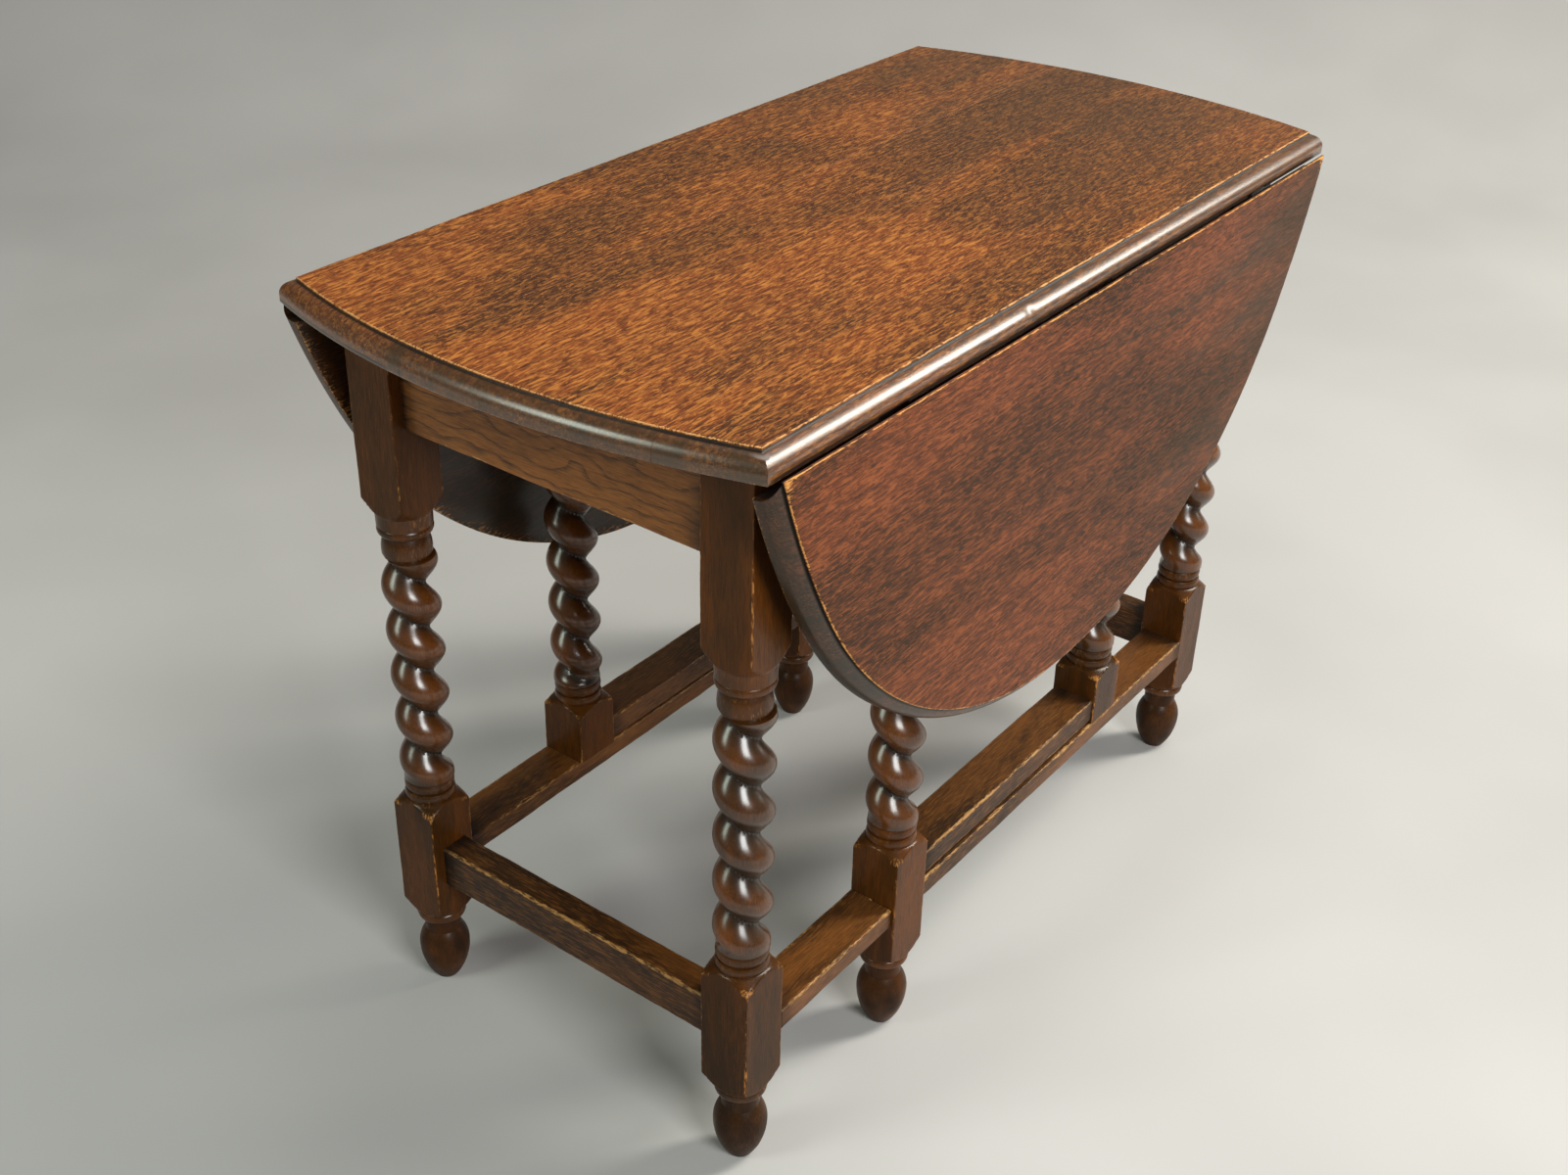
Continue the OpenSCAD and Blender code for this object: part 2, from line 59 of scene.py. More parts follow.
TOP_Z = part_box("top_board_middle")[1].z
UNDER_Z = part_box("top_board_middle")[0].z
MOULD_R = 12 * MM
STEP_H = 3.2 * MM
OVOLO_Z = TOP_Z - STEP_H - MOULD_R
HALF_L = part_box("top_board_middle")[1].x - MOULD_R
END_R = 760 * MM
END_CENTRE = END_R - HALF_L
PANEL_HALF_W = -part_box("top_board_front")[0].y - MOULD_R
SEAM_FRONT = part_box("top_board_middle")[0].y
SEAM_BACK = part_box("top_board_middle")[1].y
AXIS_Z = next(j["pos_m"][2] for j in frame["joints"] if j["name"] == "leaf_front_swing")
HOLLOW_R = 16.7 * MM
LEAF_GAP = 0.4 * MM
HALF_W = AXIS_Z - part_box("leaf_front_outer")[0].z + PANEL_HALF_W - MOULD_R
SIDE_R = (END_R**2 - END_CENTRE**2 - HALF_W**2) / (2 * (END_R - HALF_W))
SIDE_CENTRE = HALF_W - SIDE_R
ARC_CHANGE = SIDE_CENTRE * END_R / (END_R - SIDE_R)
HINGE_XS = (-300 * MM, 0, 300 * MM)
HINGE_W = 38 * MM
PLATE_L = 30 * MM
STRAP_L = 55 * MM
FLAP_T = 2 * MM
KNUCKLE_ROOM = 3.5 * MM

LEG_X, LEG_Y = 392.5 * MM, 183.5 * MM
PIVOT_X = 191 * MM
GATE_X, GATE_Y = 179 * MM, 187 * MM
POST_HALF = 24.5 * MM


# ---------- repeatable noise ----------

def noise(points, size, seed):
    """Smooth value noise, -1 to 1, at each row of points.

    size is the distance between its bumps in metres.
    """
    q = np.asarray(points, float) / size + 17.31 * seed
    cell = np.floor(q).astype(np.int64)
    part = q - cell
    part = part * part * (3 - 2 * part)
    total = np.zeros(len(q))
    for corner in itertools.product((0, 1), repeat=3):
        n = cell + corner
        h = (n[:, 0] * 73856093 ^ n[:, 1] * 19349663 ^ n[:, 2] * 83492791 ^ seed * 2654435761) & 0xFFFFFFFF
        h = (h ^ (h >> 13)) * 1274126177 & 0xFFFFFFFF
        h = (h ^ (h >> 16)) & 0xFFFF
        total += np.prod(np.where(corner, part, 1 - part), axis=1) * (h / 32767.5 - 1)
    return total


def rough_noise(points, size, seed):
    """Two octaves of noise."""
    return 0.65 * noise(points, size, seed) + 0.35 * noise(points, size / 2.7, seed + 50)


def smooth(x, low, high):
    """0 at low, 1 at high, with an S-curve between them."""
    t = np.clip((np.asarray(x, float) - low) / (high - low), 0, 1)
    return t * t * (3 - 2 * t)


# ---------- meshes made of rings ----------

# The second mark is where the wood is dirty and also where shade is painted dark: in grooves, recesses and
# the gaps between parts.
MARKS = ("wear", "grime_and_shade", "stain", "gloss")
MERGE = 2e-6
SHARP_DEG = 34
# Painted shade inside the recesses that cut_boxes cuts.
RECESS_SHADE = 0.9


def add_piece(name, rings, marks, body, material, replaces):
    """A closed solid lofted through rings of points, with a flat cap at each end.

    marks holds, for each of MARKS, one value for each point.
    """
    count, around = rings.shape[:2]
    bm = bmesh.new()
    layers = [bm.verts.layers.float.new(mark) for mark in MARKS]
    values = [np.clip(m, 0, 1).reshape(-1) for m in marks]
    verts = []
    for i, p in enumerate(rings.reshape(-1, 3)):
        v = bm.verts.new(p)
        for layer, value in zip(layers, values):
            v[layer] = float(value[i])
        verts.append(v)
    for k in range(count - 1):
        for j in range(around):
            a, b = k * around + j, k * around + (j + 1) % around
            bm.faces.new((verts[a], verts[b], verts[b + around], verts[a + around]))
    bm.faces.new(verts[:around][::-1])
    bm.faces.new(verts[-around:])
    bmesh.ops.remove_doubles(bm, verts=bm.verts, dist=MERGE)
    bmesh.ops.dissolve_degenerate(bm, dist=MERGE, edges=bm.edges)
    bmesh.ops.recalc_face_normals(bm, faces=bm.faces)
    mesh = bpy.data.meshes.new(name)
    bm.to_mesh(mesh)
    bm.free()
    mesh.shade_smooth()
    mesh.set_sharp_from_angle(angle=math.radians(SHARP_DEG))
    mesh.materials.append(material)
    piece = bpy.data.objects.new(name, mesh)
    bpy.context.scene.collection.objects.link(piece)
    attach(piece, body)
    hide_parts(*replaces)
    return piece


def cut_boxes(piece, boxes):
    """Takes boxes, each (low corner, high corner), out of a piece's mesh, and paints shade inside the
    recesses they leave.
    """
    bm = bmesh.new()
    for low, high in boxes:
        middle, size = (Vector(low) + Vector(high)) / 2, Vector(high) - Vector(low)
        bmesh.ops.create_cube(bm, size=1, matrix=Matrix.Translation(middle) @ Matrix.Diagonal(size).to_4x4())
    cutter_mesh = bpy.data.meshes.new("cutter")
    bm.to_mesh(cutter_mesh)
    bm.free()
    cutter = bpy.data.objects.new("cutter", cutter_mesh)
    bpy.context.scene.collection.objects.link(cutter)
    cut = piece.modifiers.new("cut", "BOOLEAN")
    cut.operation = "DIFFERENCE"
    cut.solver = "EXACT"
    cut.use_self = True
    cut.object = cutter
    bpy.context.view_layer.update()
    evaluated = piece.evaluated_get(bpy.context.evaluated_depsgraph_get())
    mesh = bpy.data.meshes.new_from_object(evaluated)
    piece.modifiers.clear()
    piece.data = mesh
    mesh.set_sharp_from_angle(angle=math.radians(SHARP_DEG))
    # Painted shade: every point inside a cut box is darkened.
    for vertex, dirt_and_shade in zip(mesh.vertices, mesh.attributes["grime_and_shade"].data):
        if any(all(low[k] - MERGE < vertex.co[k] < high[k] + MERGE for k in range(3)) for low, high in boxes):
            dirt_and_shade.value = RECESS_SHADE
    bpy.data.objects.remove(cutter)


# ---------- materials ----------

def linear(hex_colour):
    """Linear RGBA of a colour written as #rrggbb."""
    parts = [int(hex_colour[i:i + 2], 16) / 255 for i in (1, 3, 5)]
    return [c / 12.92 if c <= 0.04045 else ((c + 0.055) / 1.055) ** 2.4 for c in parts] + [1]


class Graph:
    """Short ways to add the nodes of one material."""

    def __init__(self, name):
        self.material = bpy.data.materials.new(name)
        self.material.use_nodes = True
        self.nodes = self.material.node_tree.nodes
        self.links = self.material.node_tree.links
        self.nodes.clear()
        self.out = self.nodes.new("ShaderNodeOutputMaterial")
        self.shader = self.nodes.new("ShaderNodeBsdfPrincipled")
        self.links.new(self.shader.outputs[0], self.out.inputs[0])

    def put(self, value, socket):
        if isinstance(value, bpy.types.NodeSocket):
            self.links.new(value, socket)
        else:
            socket.default_value = value

    def place(self, rotation, shift):
        """Object coordinates turned so that the grain runs along X."""
        coords = self.nodes.new("ShaderNodeTexCoord")
        turn = self.nodes.new("ShaderNodeMapping")
        turn.inputs["Rotation"].default_value = rotation
        turn.inputs["Location"].default_value = shift
        self.links.new(coords.outputs["Object"], turn.inputs["Vector"])
        return turn.outputs[0]

    def stretch(self, vector, scale, rotation=(0, 0, 0)):
        node = self.nodes.new("ShaderNodeMapping")
        node.inputs["Scale"].default_value = scale
        node.inputs["Rotation"].default_value = rotation
        self.links.new(vector, node.inputs["Vector"])
        return node.outputs[0]

    def noise(self, vector, scale=1, detail=2, rough=0.5, distortion=0):
        node = self.nodes.new("ShaderNodeTexNoise")
        node.inputs["Scale"].default_value = scale
        node.inputs["Detail"].default_value = detail
        node.inputs["Roughness"].default_value = rough
        node.inputs["Distortion"].default_value = distortion
        self.links.new(vector, node.inputs["Vector"])
        return node.outputs[0]

    def rings(self, vector, scale, distortion, detail_scale):
        node = self.nodes.new("ShaderNodeTexWave")
        node.wave_type = "RINGS"
        node.rings_direction = "X"
        node.wave_profile = "SAW"
        node.inputs["Scale"].default_value = scale
        node.inputs["Distortion"].default_value = distortion
        node.inputs["Detail"].default_value = 2
        node.inputs["Detail Scale"].default_value = detail_scale
        self.links.new(vector, node.inputs["Vector"])
        return node.outputs["Fac"]

    def math(self, kind, a, b=0.0):
        node = self.nodes.new("ShaderNodeMath")
        node.operation = kind
        self.put(a, node.inputs[0])
        self.put(b, node.inputs[1])
        return node.outputs[0]

    def ramp(self, value, low, high, to_low=0.0, to_high=1.0):
        node = self.nodes.new("ShaderNodeMapRange")
        node.interpolation_type = "SMOOTHSTEP"
        self.put(value, node.inputs["Value"])
        node.inputs["From Min"].default_value = low
        node.inputs["From Max"].default_value = high
        node.inputs["To Min"].default_value = to_low
        node.inputs["To Max"].default_value = to_high
        return node.outputs[0]

    def mix(self, share, a, b):
        node = self.nodes.new("ShaderNodeMix")
        node.data_type = "RGBA"
        self.put(share, node.inputs[0])
        self.put(a, node.inputs[6])
        self.put(b, node.inputs[7])
        return node.outputs[2]

    def attribute(self, name):
        node = self.nodes.new("ShaderNodeAttribute")
        node.attribute_type = "GEOMETRY"
        node.attribute_name = name
        return node.outputs["Fac"]

    def bump(self, height, distance, strength, below=None):
        node = self.nodes.new("ShaderNodeBump")
        node.inputs["Distance"].default_value = distance
        node.inputs["Strength"].default_value = strength
        self.links.new(height, node.inputs["Height"])
        if below is not None:
            self.links.new(below, node.inputs["Normal"])
        return node.outputs[0]


WAX_IOR = 1.7
GRAIN_ALONG = {"x": (0, 0, 0), "y": (0, 0, math.pi / 2), "z": (0, math.pi / 2, 0)}


def oak(name, grain, base, dark, fleck, worn, grime_and_shade="#140d08", mould="#33240f", flecks=0.5, fleck_turn=0.0,
        streaks=0.5, cathedral=0.0, fine_share=0.3, rough=0.38, coat=0.15, coat_rough=0.16, gloss=0.5,
        specular=0.3, far_shade=None, shift=(0, 0, 0)):
    """Stained and waxed oak.

    Attributes, 0 to 1, say where the colour has worn away (wear), where the wood is dirty and where shade is
    painted into grooves, recesses and gaps (the second of MARKS), where the darker colour of mouldings lies
    (stain) and where the coat's weight rises from coat to gloss (gloss).
    Painted shade along the grain: (start, end, share, colour) darkens the wood towards the table's far end.
    """
    g = Graph(name)
    p = g.place(GRAIN_ALONG[grain], shift)
    blotch = g.noise(g.stretch(p, (2.6, 9, 9)), 1, 4, 0.6, 0.5)
    smoke = g.noise(g.stretch(p, (4, 24, 24)), 1, 4, 0.6, 0.6)
    ray = g.noise(g.stretch(p, (62, 370, 370), (0, 0, fleck_turn)), 1, 4, 0.62, 0.8)
    speck = g.noise(g.stretch(p, (140, 600, 600), (0, 0, fleck_turn * 0.5)), 1, 2, 0.6, 0.5)
    fine = g.noise(g.stretch(p, (70, 900, 900)), 1, 2, 0.6)
    pore = g.noise(g.stretch(p, (45, 1400, 1400)), 1, 2, 0.55)
    grow = g.rings(g.stretch(p, (3.4, 9, 6)), 4.2, 13.0, 0.9)
    colour = g.mix(g.ramp(blotch, 0.36, 0.62), linear(dark), linear(base))
    colour = g.mix(g.math("MULTIPLY", g.ramp(smoke, 0.50, 0.68), streaks), colour, linear(dark))
    colour = g.mix(g.math("MULTIPLY", g.ramp(grow, 0.66, 0.98), cathedral), colour, linear(grime_and_shade))
    zone = g.ramp(blotch, 0.35, 0.6, 0.45, 1.0)
    colour = g.mix(g.math("MULTIPLY", g.ramp(ray, 0.49, 0.62), g.math("MULTIPLY", zone, flecks)), colour,
                   linear(fleck))
    colour = g.mix(g.math("MULTIPLY", g.ramp(ray, 0.50, 0.38), flecks * 0.8), colour, linear(dark))
    colour = g.mix(g.math("MULTIPLY", g.ramp(speck, 0.56, 0.66), flecks * 0.7), colour, linear(fleck))
    colour = g.mix(g.math("MULTIPLY", g.ramp(fine, 0.5, 0.64), fine_share), colour, linear(fleck))
    colour = g.mix(g.math("MULTIPLY", g.ramp(pore, 0.54, 0.66), 0.60), colour, linear(grime_and_shade))
    # Painted shade: the far end, along X, takes the darker colour.
    if far_shade:
        start, end, share, far_shade_colour = far_shade
        along = g.nodes.new("ShaderNodeSeparateXYZ")
        g.links.new(p, along.inputs[0])
        place = g.math("ADD", along.outputs["X"], g.ramp(smoke, 0.3, 0.7, -0.12, 0.12))
        colour = g.mix(g.ramp(place, start + shift[0], end + shift[0], 0, share), colour, linear(far_shade_colour))
    wear = g.attribute("wear")
    dirt_and_shade = g.attribute("grime_and_shade")
    stain = g.attribute("stain")
    sheen = g.mix(g.ramp(smoke, 0.35, 0.62), linear(mould), colour)
    colour = g.mix(g.math("MULTIPLY", stain, 0.9), colour, g.mix(0.62, sheen, linear(mould)))
    chip = g.ramp(g.math("ADD", wear, g.ramp(speck, 0.3, 0.7, -0.3, 0.3)), 0.38, 0.85)
    colour = g.mix(chip, colour, linear(worn))
    # Painted shade: this darkens grooves, recesses and gaps as well as the dirty wood.
    soil_and_shade = g.ramp(g.math("ADD", dirt_and_shade, g.ramp(smoke, 0.3, 0.7, -0.15, 0.15)), 0.15, 0.9)
    colour = g.mix(g.math("MULTIPLY", soil_and_shade, 0.92), colour, linear(grime_and_shade))
    g.put(colour, g.shader.inputs["Base Color"])
    dull = g.math("ADD", g.ramp(blotch, 0.3, 0.7, rough + 0.06, rough - 0.04), g.math("MULTIPLY", soil_and_shade, 0.3))
    dull = g.math("SUBTRACT", dull, g.math("MULTIPLY", stain, 0.1))
    g.put(g.math("ADD", dull, g.math("MULTIPLY", g.ramp(pore, 0.5, 0.7), 0.12)), g.shader.inputs["Roughness"])
    relief = g.math("SUBTRACT", g.math("MULTIPLY", ray, 0.35), g.ramp(pore, 0.54, 0.72))
    below = g.bump(relief, 0.00012, 0.5)
    g.put(g.bump(g.noise(g.stretch(p, (14, 60, 60)), 1, 2), 0.0006, 0.25, below), g.shader.inputs["Normal"])
    g.put(g.ramp(g.attribute("gloss"), 0.0, 1.0, coat, gloss), g.shader.inputs["Coat Weight"])
    g.shader.inputs["Coat Roughness"].default_value = coat_rough
    g.shader.inputs["Coat IOR"].default_value = WAX_IOR
    g.shader.inputs["Specular IOR Level"].default_value = specular
    return g.material


def old_metal(name, base, rust, metallic, rough):
    """Brown old metal with rust in patches."""
    g = Graph(name)
    p = g.place((0, 0, 0), (0, 0, 0))
    patch = g.noise(p, 140, 4, 0.65, 0.4)
    grit = g.noise(p, 1500, 2, 0.6)
    spread = g.ramp(patch, 0.42, 0.62)
    g.put(g.mix(spread, linear(base), linear(rust)), g.shader.inputs["Base Color"])
    g.put(g.ramp(patch, 0.35, 0.65, rough, rough + 0.3), g.shader.inputs["Roughness"])
    g.put(g.bump(grit, 0.00008, 0.5, g.bump(patch, 0.0003, 0.3)), g.shader.inputs["Normal"])
    g.shader.inputs["Metallic"].default_value = metallic
    return g.material


# Painted shade darkens the far end of the top.
TOP_LOOK = dict(base="#813f1c", dark="#402215", fleck="#bf7937", worn="#d39a60", mould="#33240f",
                flecks=0.85, streaks=0.75, cathedral=0.15, far_shade=(-0.05, 0.45, 0.42, "#45372a"),
                rough=0.42, coat=0.06, coat_rough=0.29, gloss=1.0, specular=0.2)
TOPS = {
    "front": oak("oak_top_front", "x", fleck_turn=0.16, shift=(0.3, 0.1, 0), **TOP_LOOK),
    "middle": oak("oak_top_middle", "x", fleck_turn=-0.12, shift=(1.7, 0.9, 0.2), **TOP_LOOK),
    "back": oak("oak_top_back", "x", fleck_turn=0.05, shift=(3.1, 2.2, 0.4), **TOP_LOOK),
}
LEAF_LOOK = dict(base="#602e14", dark="#321e10", fleck="#925029", worn="#c98d4c", mould="#221d0d",
                 flecks=0.7, streaks=0.6, fleck_turn=0.5,
                 rough=0.45, coat=0.03, coat_rough=0.25, gloss=0.35, specular=0.13)
LEAVES = {
    # Painted shade darkens the far end of this leaf.
    "front": oak("oak_leaf_front", "x", far_shade=(0.05, 0.45, 0.65, "#33291a"), shift=(5.3, 0.4, 0.7),
                 **LEAF_LOOK),
    "back": oak("oak_leaf_back", "x", shift=(7.9, 1.4, 0.3), **LEAF_LOOK),
}
APRON_LOOK = dict(base="#8e5622", dark="#6c3f17", fleck="#a0662e", worn="#bd8648",
                  flecks=0.22, streaks=0.25, cathedral=0.65, rough=0.38, coat=0.12, specular=0.22)
APRONS = {"x": oak("oak_apron_long", "x", shift=(0.6, 0.02, 0.4), **APRON_LOOK),
          "y": oak("oak_apron_end", "y", shift=(0.9, 0.35, -0.1), **APRON_LOOK)}
RAIL_LOOK = dict(base="#6b401b", dark="#2b1a0c", fleck="#855325", worn="#a87a42",
                 flecks=0.15, streaks=0.8, fine_share=0.55, rough=0.42, coat=0.1, specular=0.2)
RAILS = {"x": oak("oak_rail_long", "x", shift=(2.6, 0.3, 0.4), **RAIL_LOOK),
         "y": oak("oak_rail_end", "y", shift=(1.9, 0.6, 0.1), **RAIL_LOOK)}
TURNED = oak("oak_turned", "z", base="#7a4110", dark="#4a2709", fleck="#8f531e", worn="#a77038",
             mould="#25190a", flecks=0.2, streaks=0.5, fine_share=0.35,
             rough=0.36, coat=0.06, coat_rough=0.24, gloss=0.68, specular=0.1, shift=(0.2, 0.7, 0.5))


# ---------- turned posts ----------

TWIST_LOW, TWIST_HIGH = 243 * MM, 477 * MM
TWIST_PITCH = 46.2 * MM
TWIST_TOP_PHASE = math.radians(264)
TWIST_R, GROOVE_R = 25.2 * MM, 12.5 * MM
RUN_OUT = 16 * MM
RISE_STEP = 1.9 * MM
IN_TWIST = 0.0
RIDGE_SHAPE = 0.6
CORNER_R = 36 * MM
FOOT_TOP = 78 * MM


def bulge(z_low, z_high, belly_z, belly_r, arc_r, count=9):
    """Points (z, radius) of a turned swelling cut by an arc."""
    z = np.linspace(z_low, z_high, count)
    return [(a, belly_r - arc_r + math.sqrt(arc_r**2 - (a - belly_z) ** 2)) for a in z]


def straight(z_low, z_high, r_low, r_high, step=5 * MM):
    """Points (z, radius) of a straight or tapered stretch."""
    count = max(2, int(round((z_high - z_low) / step)) + 1)
    return list(zip(np.linspace(z_low, z_high, count), np.linspace(r_low, r_high, count)))


def foot_profile():
    """Egg-shaped foot, neck and bead."""
    return (bulge(0, 40 * MM, 40 * MM, 24 * MM, 70 * MM, 13)
            + bulge(40 * MM, 60 * MM, 40 * MM, 24 * MM, 32 * MM, 9)
            + straight(60.4 * MM, 75.6 * MM, 17.0 * MM, 17.4 * MM)
            + bulge(76 * MM, 87 * MM, 81.5 * MM, 23.3 * MM, 6.5 * MM, 11))


def shaft_low_profile():
    """Two rings between the lower block and the twist."""
    return (bulge(221.3 * MM, 229.8 * MM, 225.6 * MM, 23.2 * MM, 8 * MM, 9)
            + bulge(230.4 * MM, 231.4 * MM, 231 * MM, 20 * MM, 20 * MM, 3)
            + bulge(231.8 * MM, 241 * MM, 236.4 * MM, 22.8 * MM, 9 * MM, 9)
            + bulge(241.5 * MM, 242.5 * MM, 242 * MM, 20.6 * MM, 20 * MM, 3))


def shaft_high_profile():
    """Barrel, ring and collar between the twist and the upper block."""
    return (straight(477.2 * MM, 479.6 * MM, 20.5 * MM, 20.5 * MM, 1 * MM)
            + bulge(480 * MM, 498 * MM, 484 * MM, 22 * MM, 34 * MM, 9)
            + straight(498.6 * MM, 499.6 * MM, 20.6 * MM, 20.9 * MM, 1 * MM)
            + bulge(500 * MM, 507.6 * MM, 504 * MM, 24.4 * MM, 6 * MM, 9)
            + straight(508 * MM, 520 * MM, 24.2 * MM, 24.4 * MM, 3 * MM))


def post_angles():
    """Angles of a ring's points, closer together at the four arrises."""
    near = np.radians([0, 0.5, 1.1, 1.9, 3.0, 4.6])
    one = np.concatenate([-near[:0:-1], near, np.linspace(near[-1], math.pi / 2 - near[-1], 17)[1:-1]])
    return np.concatenate([one + math.pi / 4 + q * math.pi / 2 for q in range(4)])


ANGLES = post_angles()


def square_radius(angles, round_r):
    """Distance to a square with rounded corners; round_r may vary from point to point."""
    off_corner = np.abs(angles % (math.pi / 2) - math.pi / 4)
    flat = POST_HALF / np.cos(math.pi / 4 - off_corner)
    c = (POST_HALF - round_r) * math.sqrt(2)
    inside = np.maximum(round_r**2 - (c * np.sin(off_corner)) ** 2, 0)
    rounded = c * np.cos(off_corner) + np.sqrt(inside)
    return np.where(c * np.sin(off_corner) < round_r * math.sqrt(0.5), np.minimum(flat, rounded), flat)


def twist_shape(z):
    """Radius of the rope twist at each of ANGLES, and how near each is to the top of the ridge, 0 to 1.

    There is one broad ridge, which climbs as the azimuth falls.
    """
    phase = TWIST_TOP_PHASE + (TWIST_HIGH - z) / TWIST_PITCH * 2 * math.pi
    ridge = ((1 + np.cos(ANGLES - phase)) / 2) ** RIDGE_SHAPE
    begun = smooth(z, TWIST_LOW, TWIST_LOW + RUN_OUT)
    crest = TWIST_R - 1.6 * MM * (1 - begun)
    return crest - (TWIST_R - GROOVE_R) * (1 - ridge) * (0.12 + 0.88 * begun), ridge


def twist_ring(z, patch):
    """Radius and marks of one ring of the twist: painted shade in the groove, and below the ridge a lighter
    band of wood that is partly worn by rubbing and partly painted light.
    """
    r, ridge = twist_shape(z)
    # Partly wood worn by rubbing, partly painted light: the band beside the ridge is left lighter.
    rubbed_and_lit = twist_shape(z - 5 * MM)[1]
    wear = 0.12 * patch
    # Painted shade: the groove between the turns is darkened.
    grime_and_shade = smooth(ridge, 0.42, 0.02) * 0.75
    stain = 1.1 - 0.6 * smooth(rubbed_and_lit, 0.5, 1.0) * (0.85 + 0.5 * patch)
    return r, (wear, grime_and_shade, stain, np.ones(len(ANGLES)))


def lathe_ring(z, r_lathe, patch, tone, block_spans):
    """Radius and marks of one ring outside the twist: the square with its corners turned down to r_lathe."""
    worn_r = (1.1 + 0.9 * np.maximum(patch, -0.6)) * MM
    r = np.minimum(square_radius(ANGLES, worn_r), r_lathe)
    in_block = any(low <= z <= high for low, high in block_spans)
    off_corner = np.abs((ANGLES % (math.pi / 2)) - math.pi / 4)
    edge = smooth(off_corner, math.radians(3.2), math.radians(0.8)) if in_block else 0
    wear = edge * (0.43 + 0.42 * patch) + (0.2 + 0.2 * patch) * (r_lathe < POST_HALF)
    # Painted shade in the narrow grooves of the turnings above the lower block; the feet below stay dirty for
    # real.
    in_groove = r_lathe < 20.7 * MM and z > BLOCK_HIGH
    grime_and_shade = np.full(len(ANGLES), 0.45 if in_groove else 0.05)
    if z < FOOT_TOP:
        grime_and_shade = grime_and_shade + 0.42 - 0.3 * patch
        wear = wear * 0.6
    if any(0 < z - high < 11 * MM for _, high in block_spans):
        wear = np.maximum(wear, 0.7 * smooth(r, 25 * MM, 32 * MM) * (0.8 + 0.6 * patch))
    on_collar = z > FOOT_TOP and r_lathe < 25.4 * MM
    return r, (wear, grime_and_shade, 0.86 - 0.2 * tone, np.full(len(ANGLES), 0.4 if on_collar else 0.0))


def post(name, place, body, seed, profile, block_spans, cuts=()):
    """A turned post. profile is (z, radius) from the bottom up; inside block_spans the square shows.

    Rings of the twist are added between TWIST_LOW and TWIST_HIGH, marked by the radius IN_TWIST.
    cuts are (z_low, z_high, y), in the post's own frame, where the wood behind y is cut away. Each end of a
    cut inside the post has two rings, one before the step and one after it.
    """
    twist_levels = np.linspace(TWIST_LOW, TWIST_HIGH, int(round((TWIST_HIGH - TWIST_LOW) / RISE_STEP)))
    rows = [(z, r, None) for z, r in sorted(profile + [(z, IN_TWIST) for z in twist_levels])]
    for low, high, cut_y in cuts:
        rows = [(z, r, cut_y if low < z < high else old) for z, r, old in rows]
        rows += [(low, CORNER_R, None), (low, CORNER_R, cut_y)]
        if high < math.inf:
            rows += [(high, CORNER_R, cut_y), (high, CORNER_R, None)]
    rows.sort(key=lambda row: row[0])
    rings, marks = [], []
    for z, r_lathe, cut_y in rows:
        at = np.stack([np.cos(ANGLES) * POST_HALF + place[0], np.sin(ANGLES) * POST_HALF + place[1],
                       np.full(len(ANGLES), z)], 1)
        patch = rough_noise(at, 22 * MM, seed)
        if r_lathe == IN_TWIST:
            r, ring_marks = twist_ring(z, patch)
        else:
            tone = rough_noise(at, 70 * MM, seed + 3)
            r, ring_marks = lathe_ring(z, r_lathe, patch, tone, block_spans)
        x, y = np.cos(ANGLES) * r, np.sin(ANGLES) * r
        if cut_y is not None:
            y = np.minimum(y, cut_y)
        rings.append(np.stack([x + place[0], y + place[1], np.full(len(x), z)], 1))
        marks.append(ring_marks)
    return add_piece(name + "_oak", np.array(rings), np.array(marks).swapaxes(0, 1), body,
                     TURNED, [name])


def turned_about(piece):
    """Turns a piece drawn at the front half a turn about the table's middle, for the back."""
    piece.data.transform(Matrix.Rotation(math.pi, 4, "Z"))


BLOCK_LOW, BLOCK_HIGH, CAP_LOW = 99 * MM, 210 * MM, 535 * MM
LOW_BLOCK = (BLOCK_LOW, BLOCK_HIGH)


def leg_profile(top):
    """Profile of a leg that stands on the floor and ends at height top."""
    return (foot_profile() + straight(87.4 * MM, BLOCK_LOW, 23.3 * MM, CORNER_R, 1.2 * MM)
            + straight(BLOCK_LOW + 3 * MM, BLOCK_HIGH - 1 * MM, CORNER_R, CORNER_R)
            + straight(BLOCK_HIGH, 221 * MM, CORNER_R, 22.9 * MM, 1.2 * MM)
            + shaft_low_profile() + shaft_high_profile()
            + straight(520.4 * MM, CAP_LOW, 24.4 * MM, CORNER_R, 1.2 * MM)
            + straight(CAP_LOW + 3 * MM, top, CORNER_R, CORNER_R))


for x_side, x_name in ((-1, "left"), (1, "right")):
    for y_side, y_name in ((-1, "front"), (1, "back")):
        post(f"leg_{y_name}_{x_name}", (x_side * LEG_X, y_side * LEG_Y), "frame",
             5 + x_side + 3 * y_side, leg_profile(UNDER_Z), (LOW_BLOCK, (CAP_LOW, UNDER_Z)))

PIVOT_BLOCK_HIGH = 213 * MM
PINTLE_R, PINTLE_L = 8 * MM, 14 * MM
TOP_PINTLE_R, TOP_PINTLE_L = 5 * MM, 20 * MM
STRETCHER_CUT = (138.5 * MM, 161 * MM, -0.6 * MM)
APRON_CUT = (604 * MM, math.inf, -3 * MM)


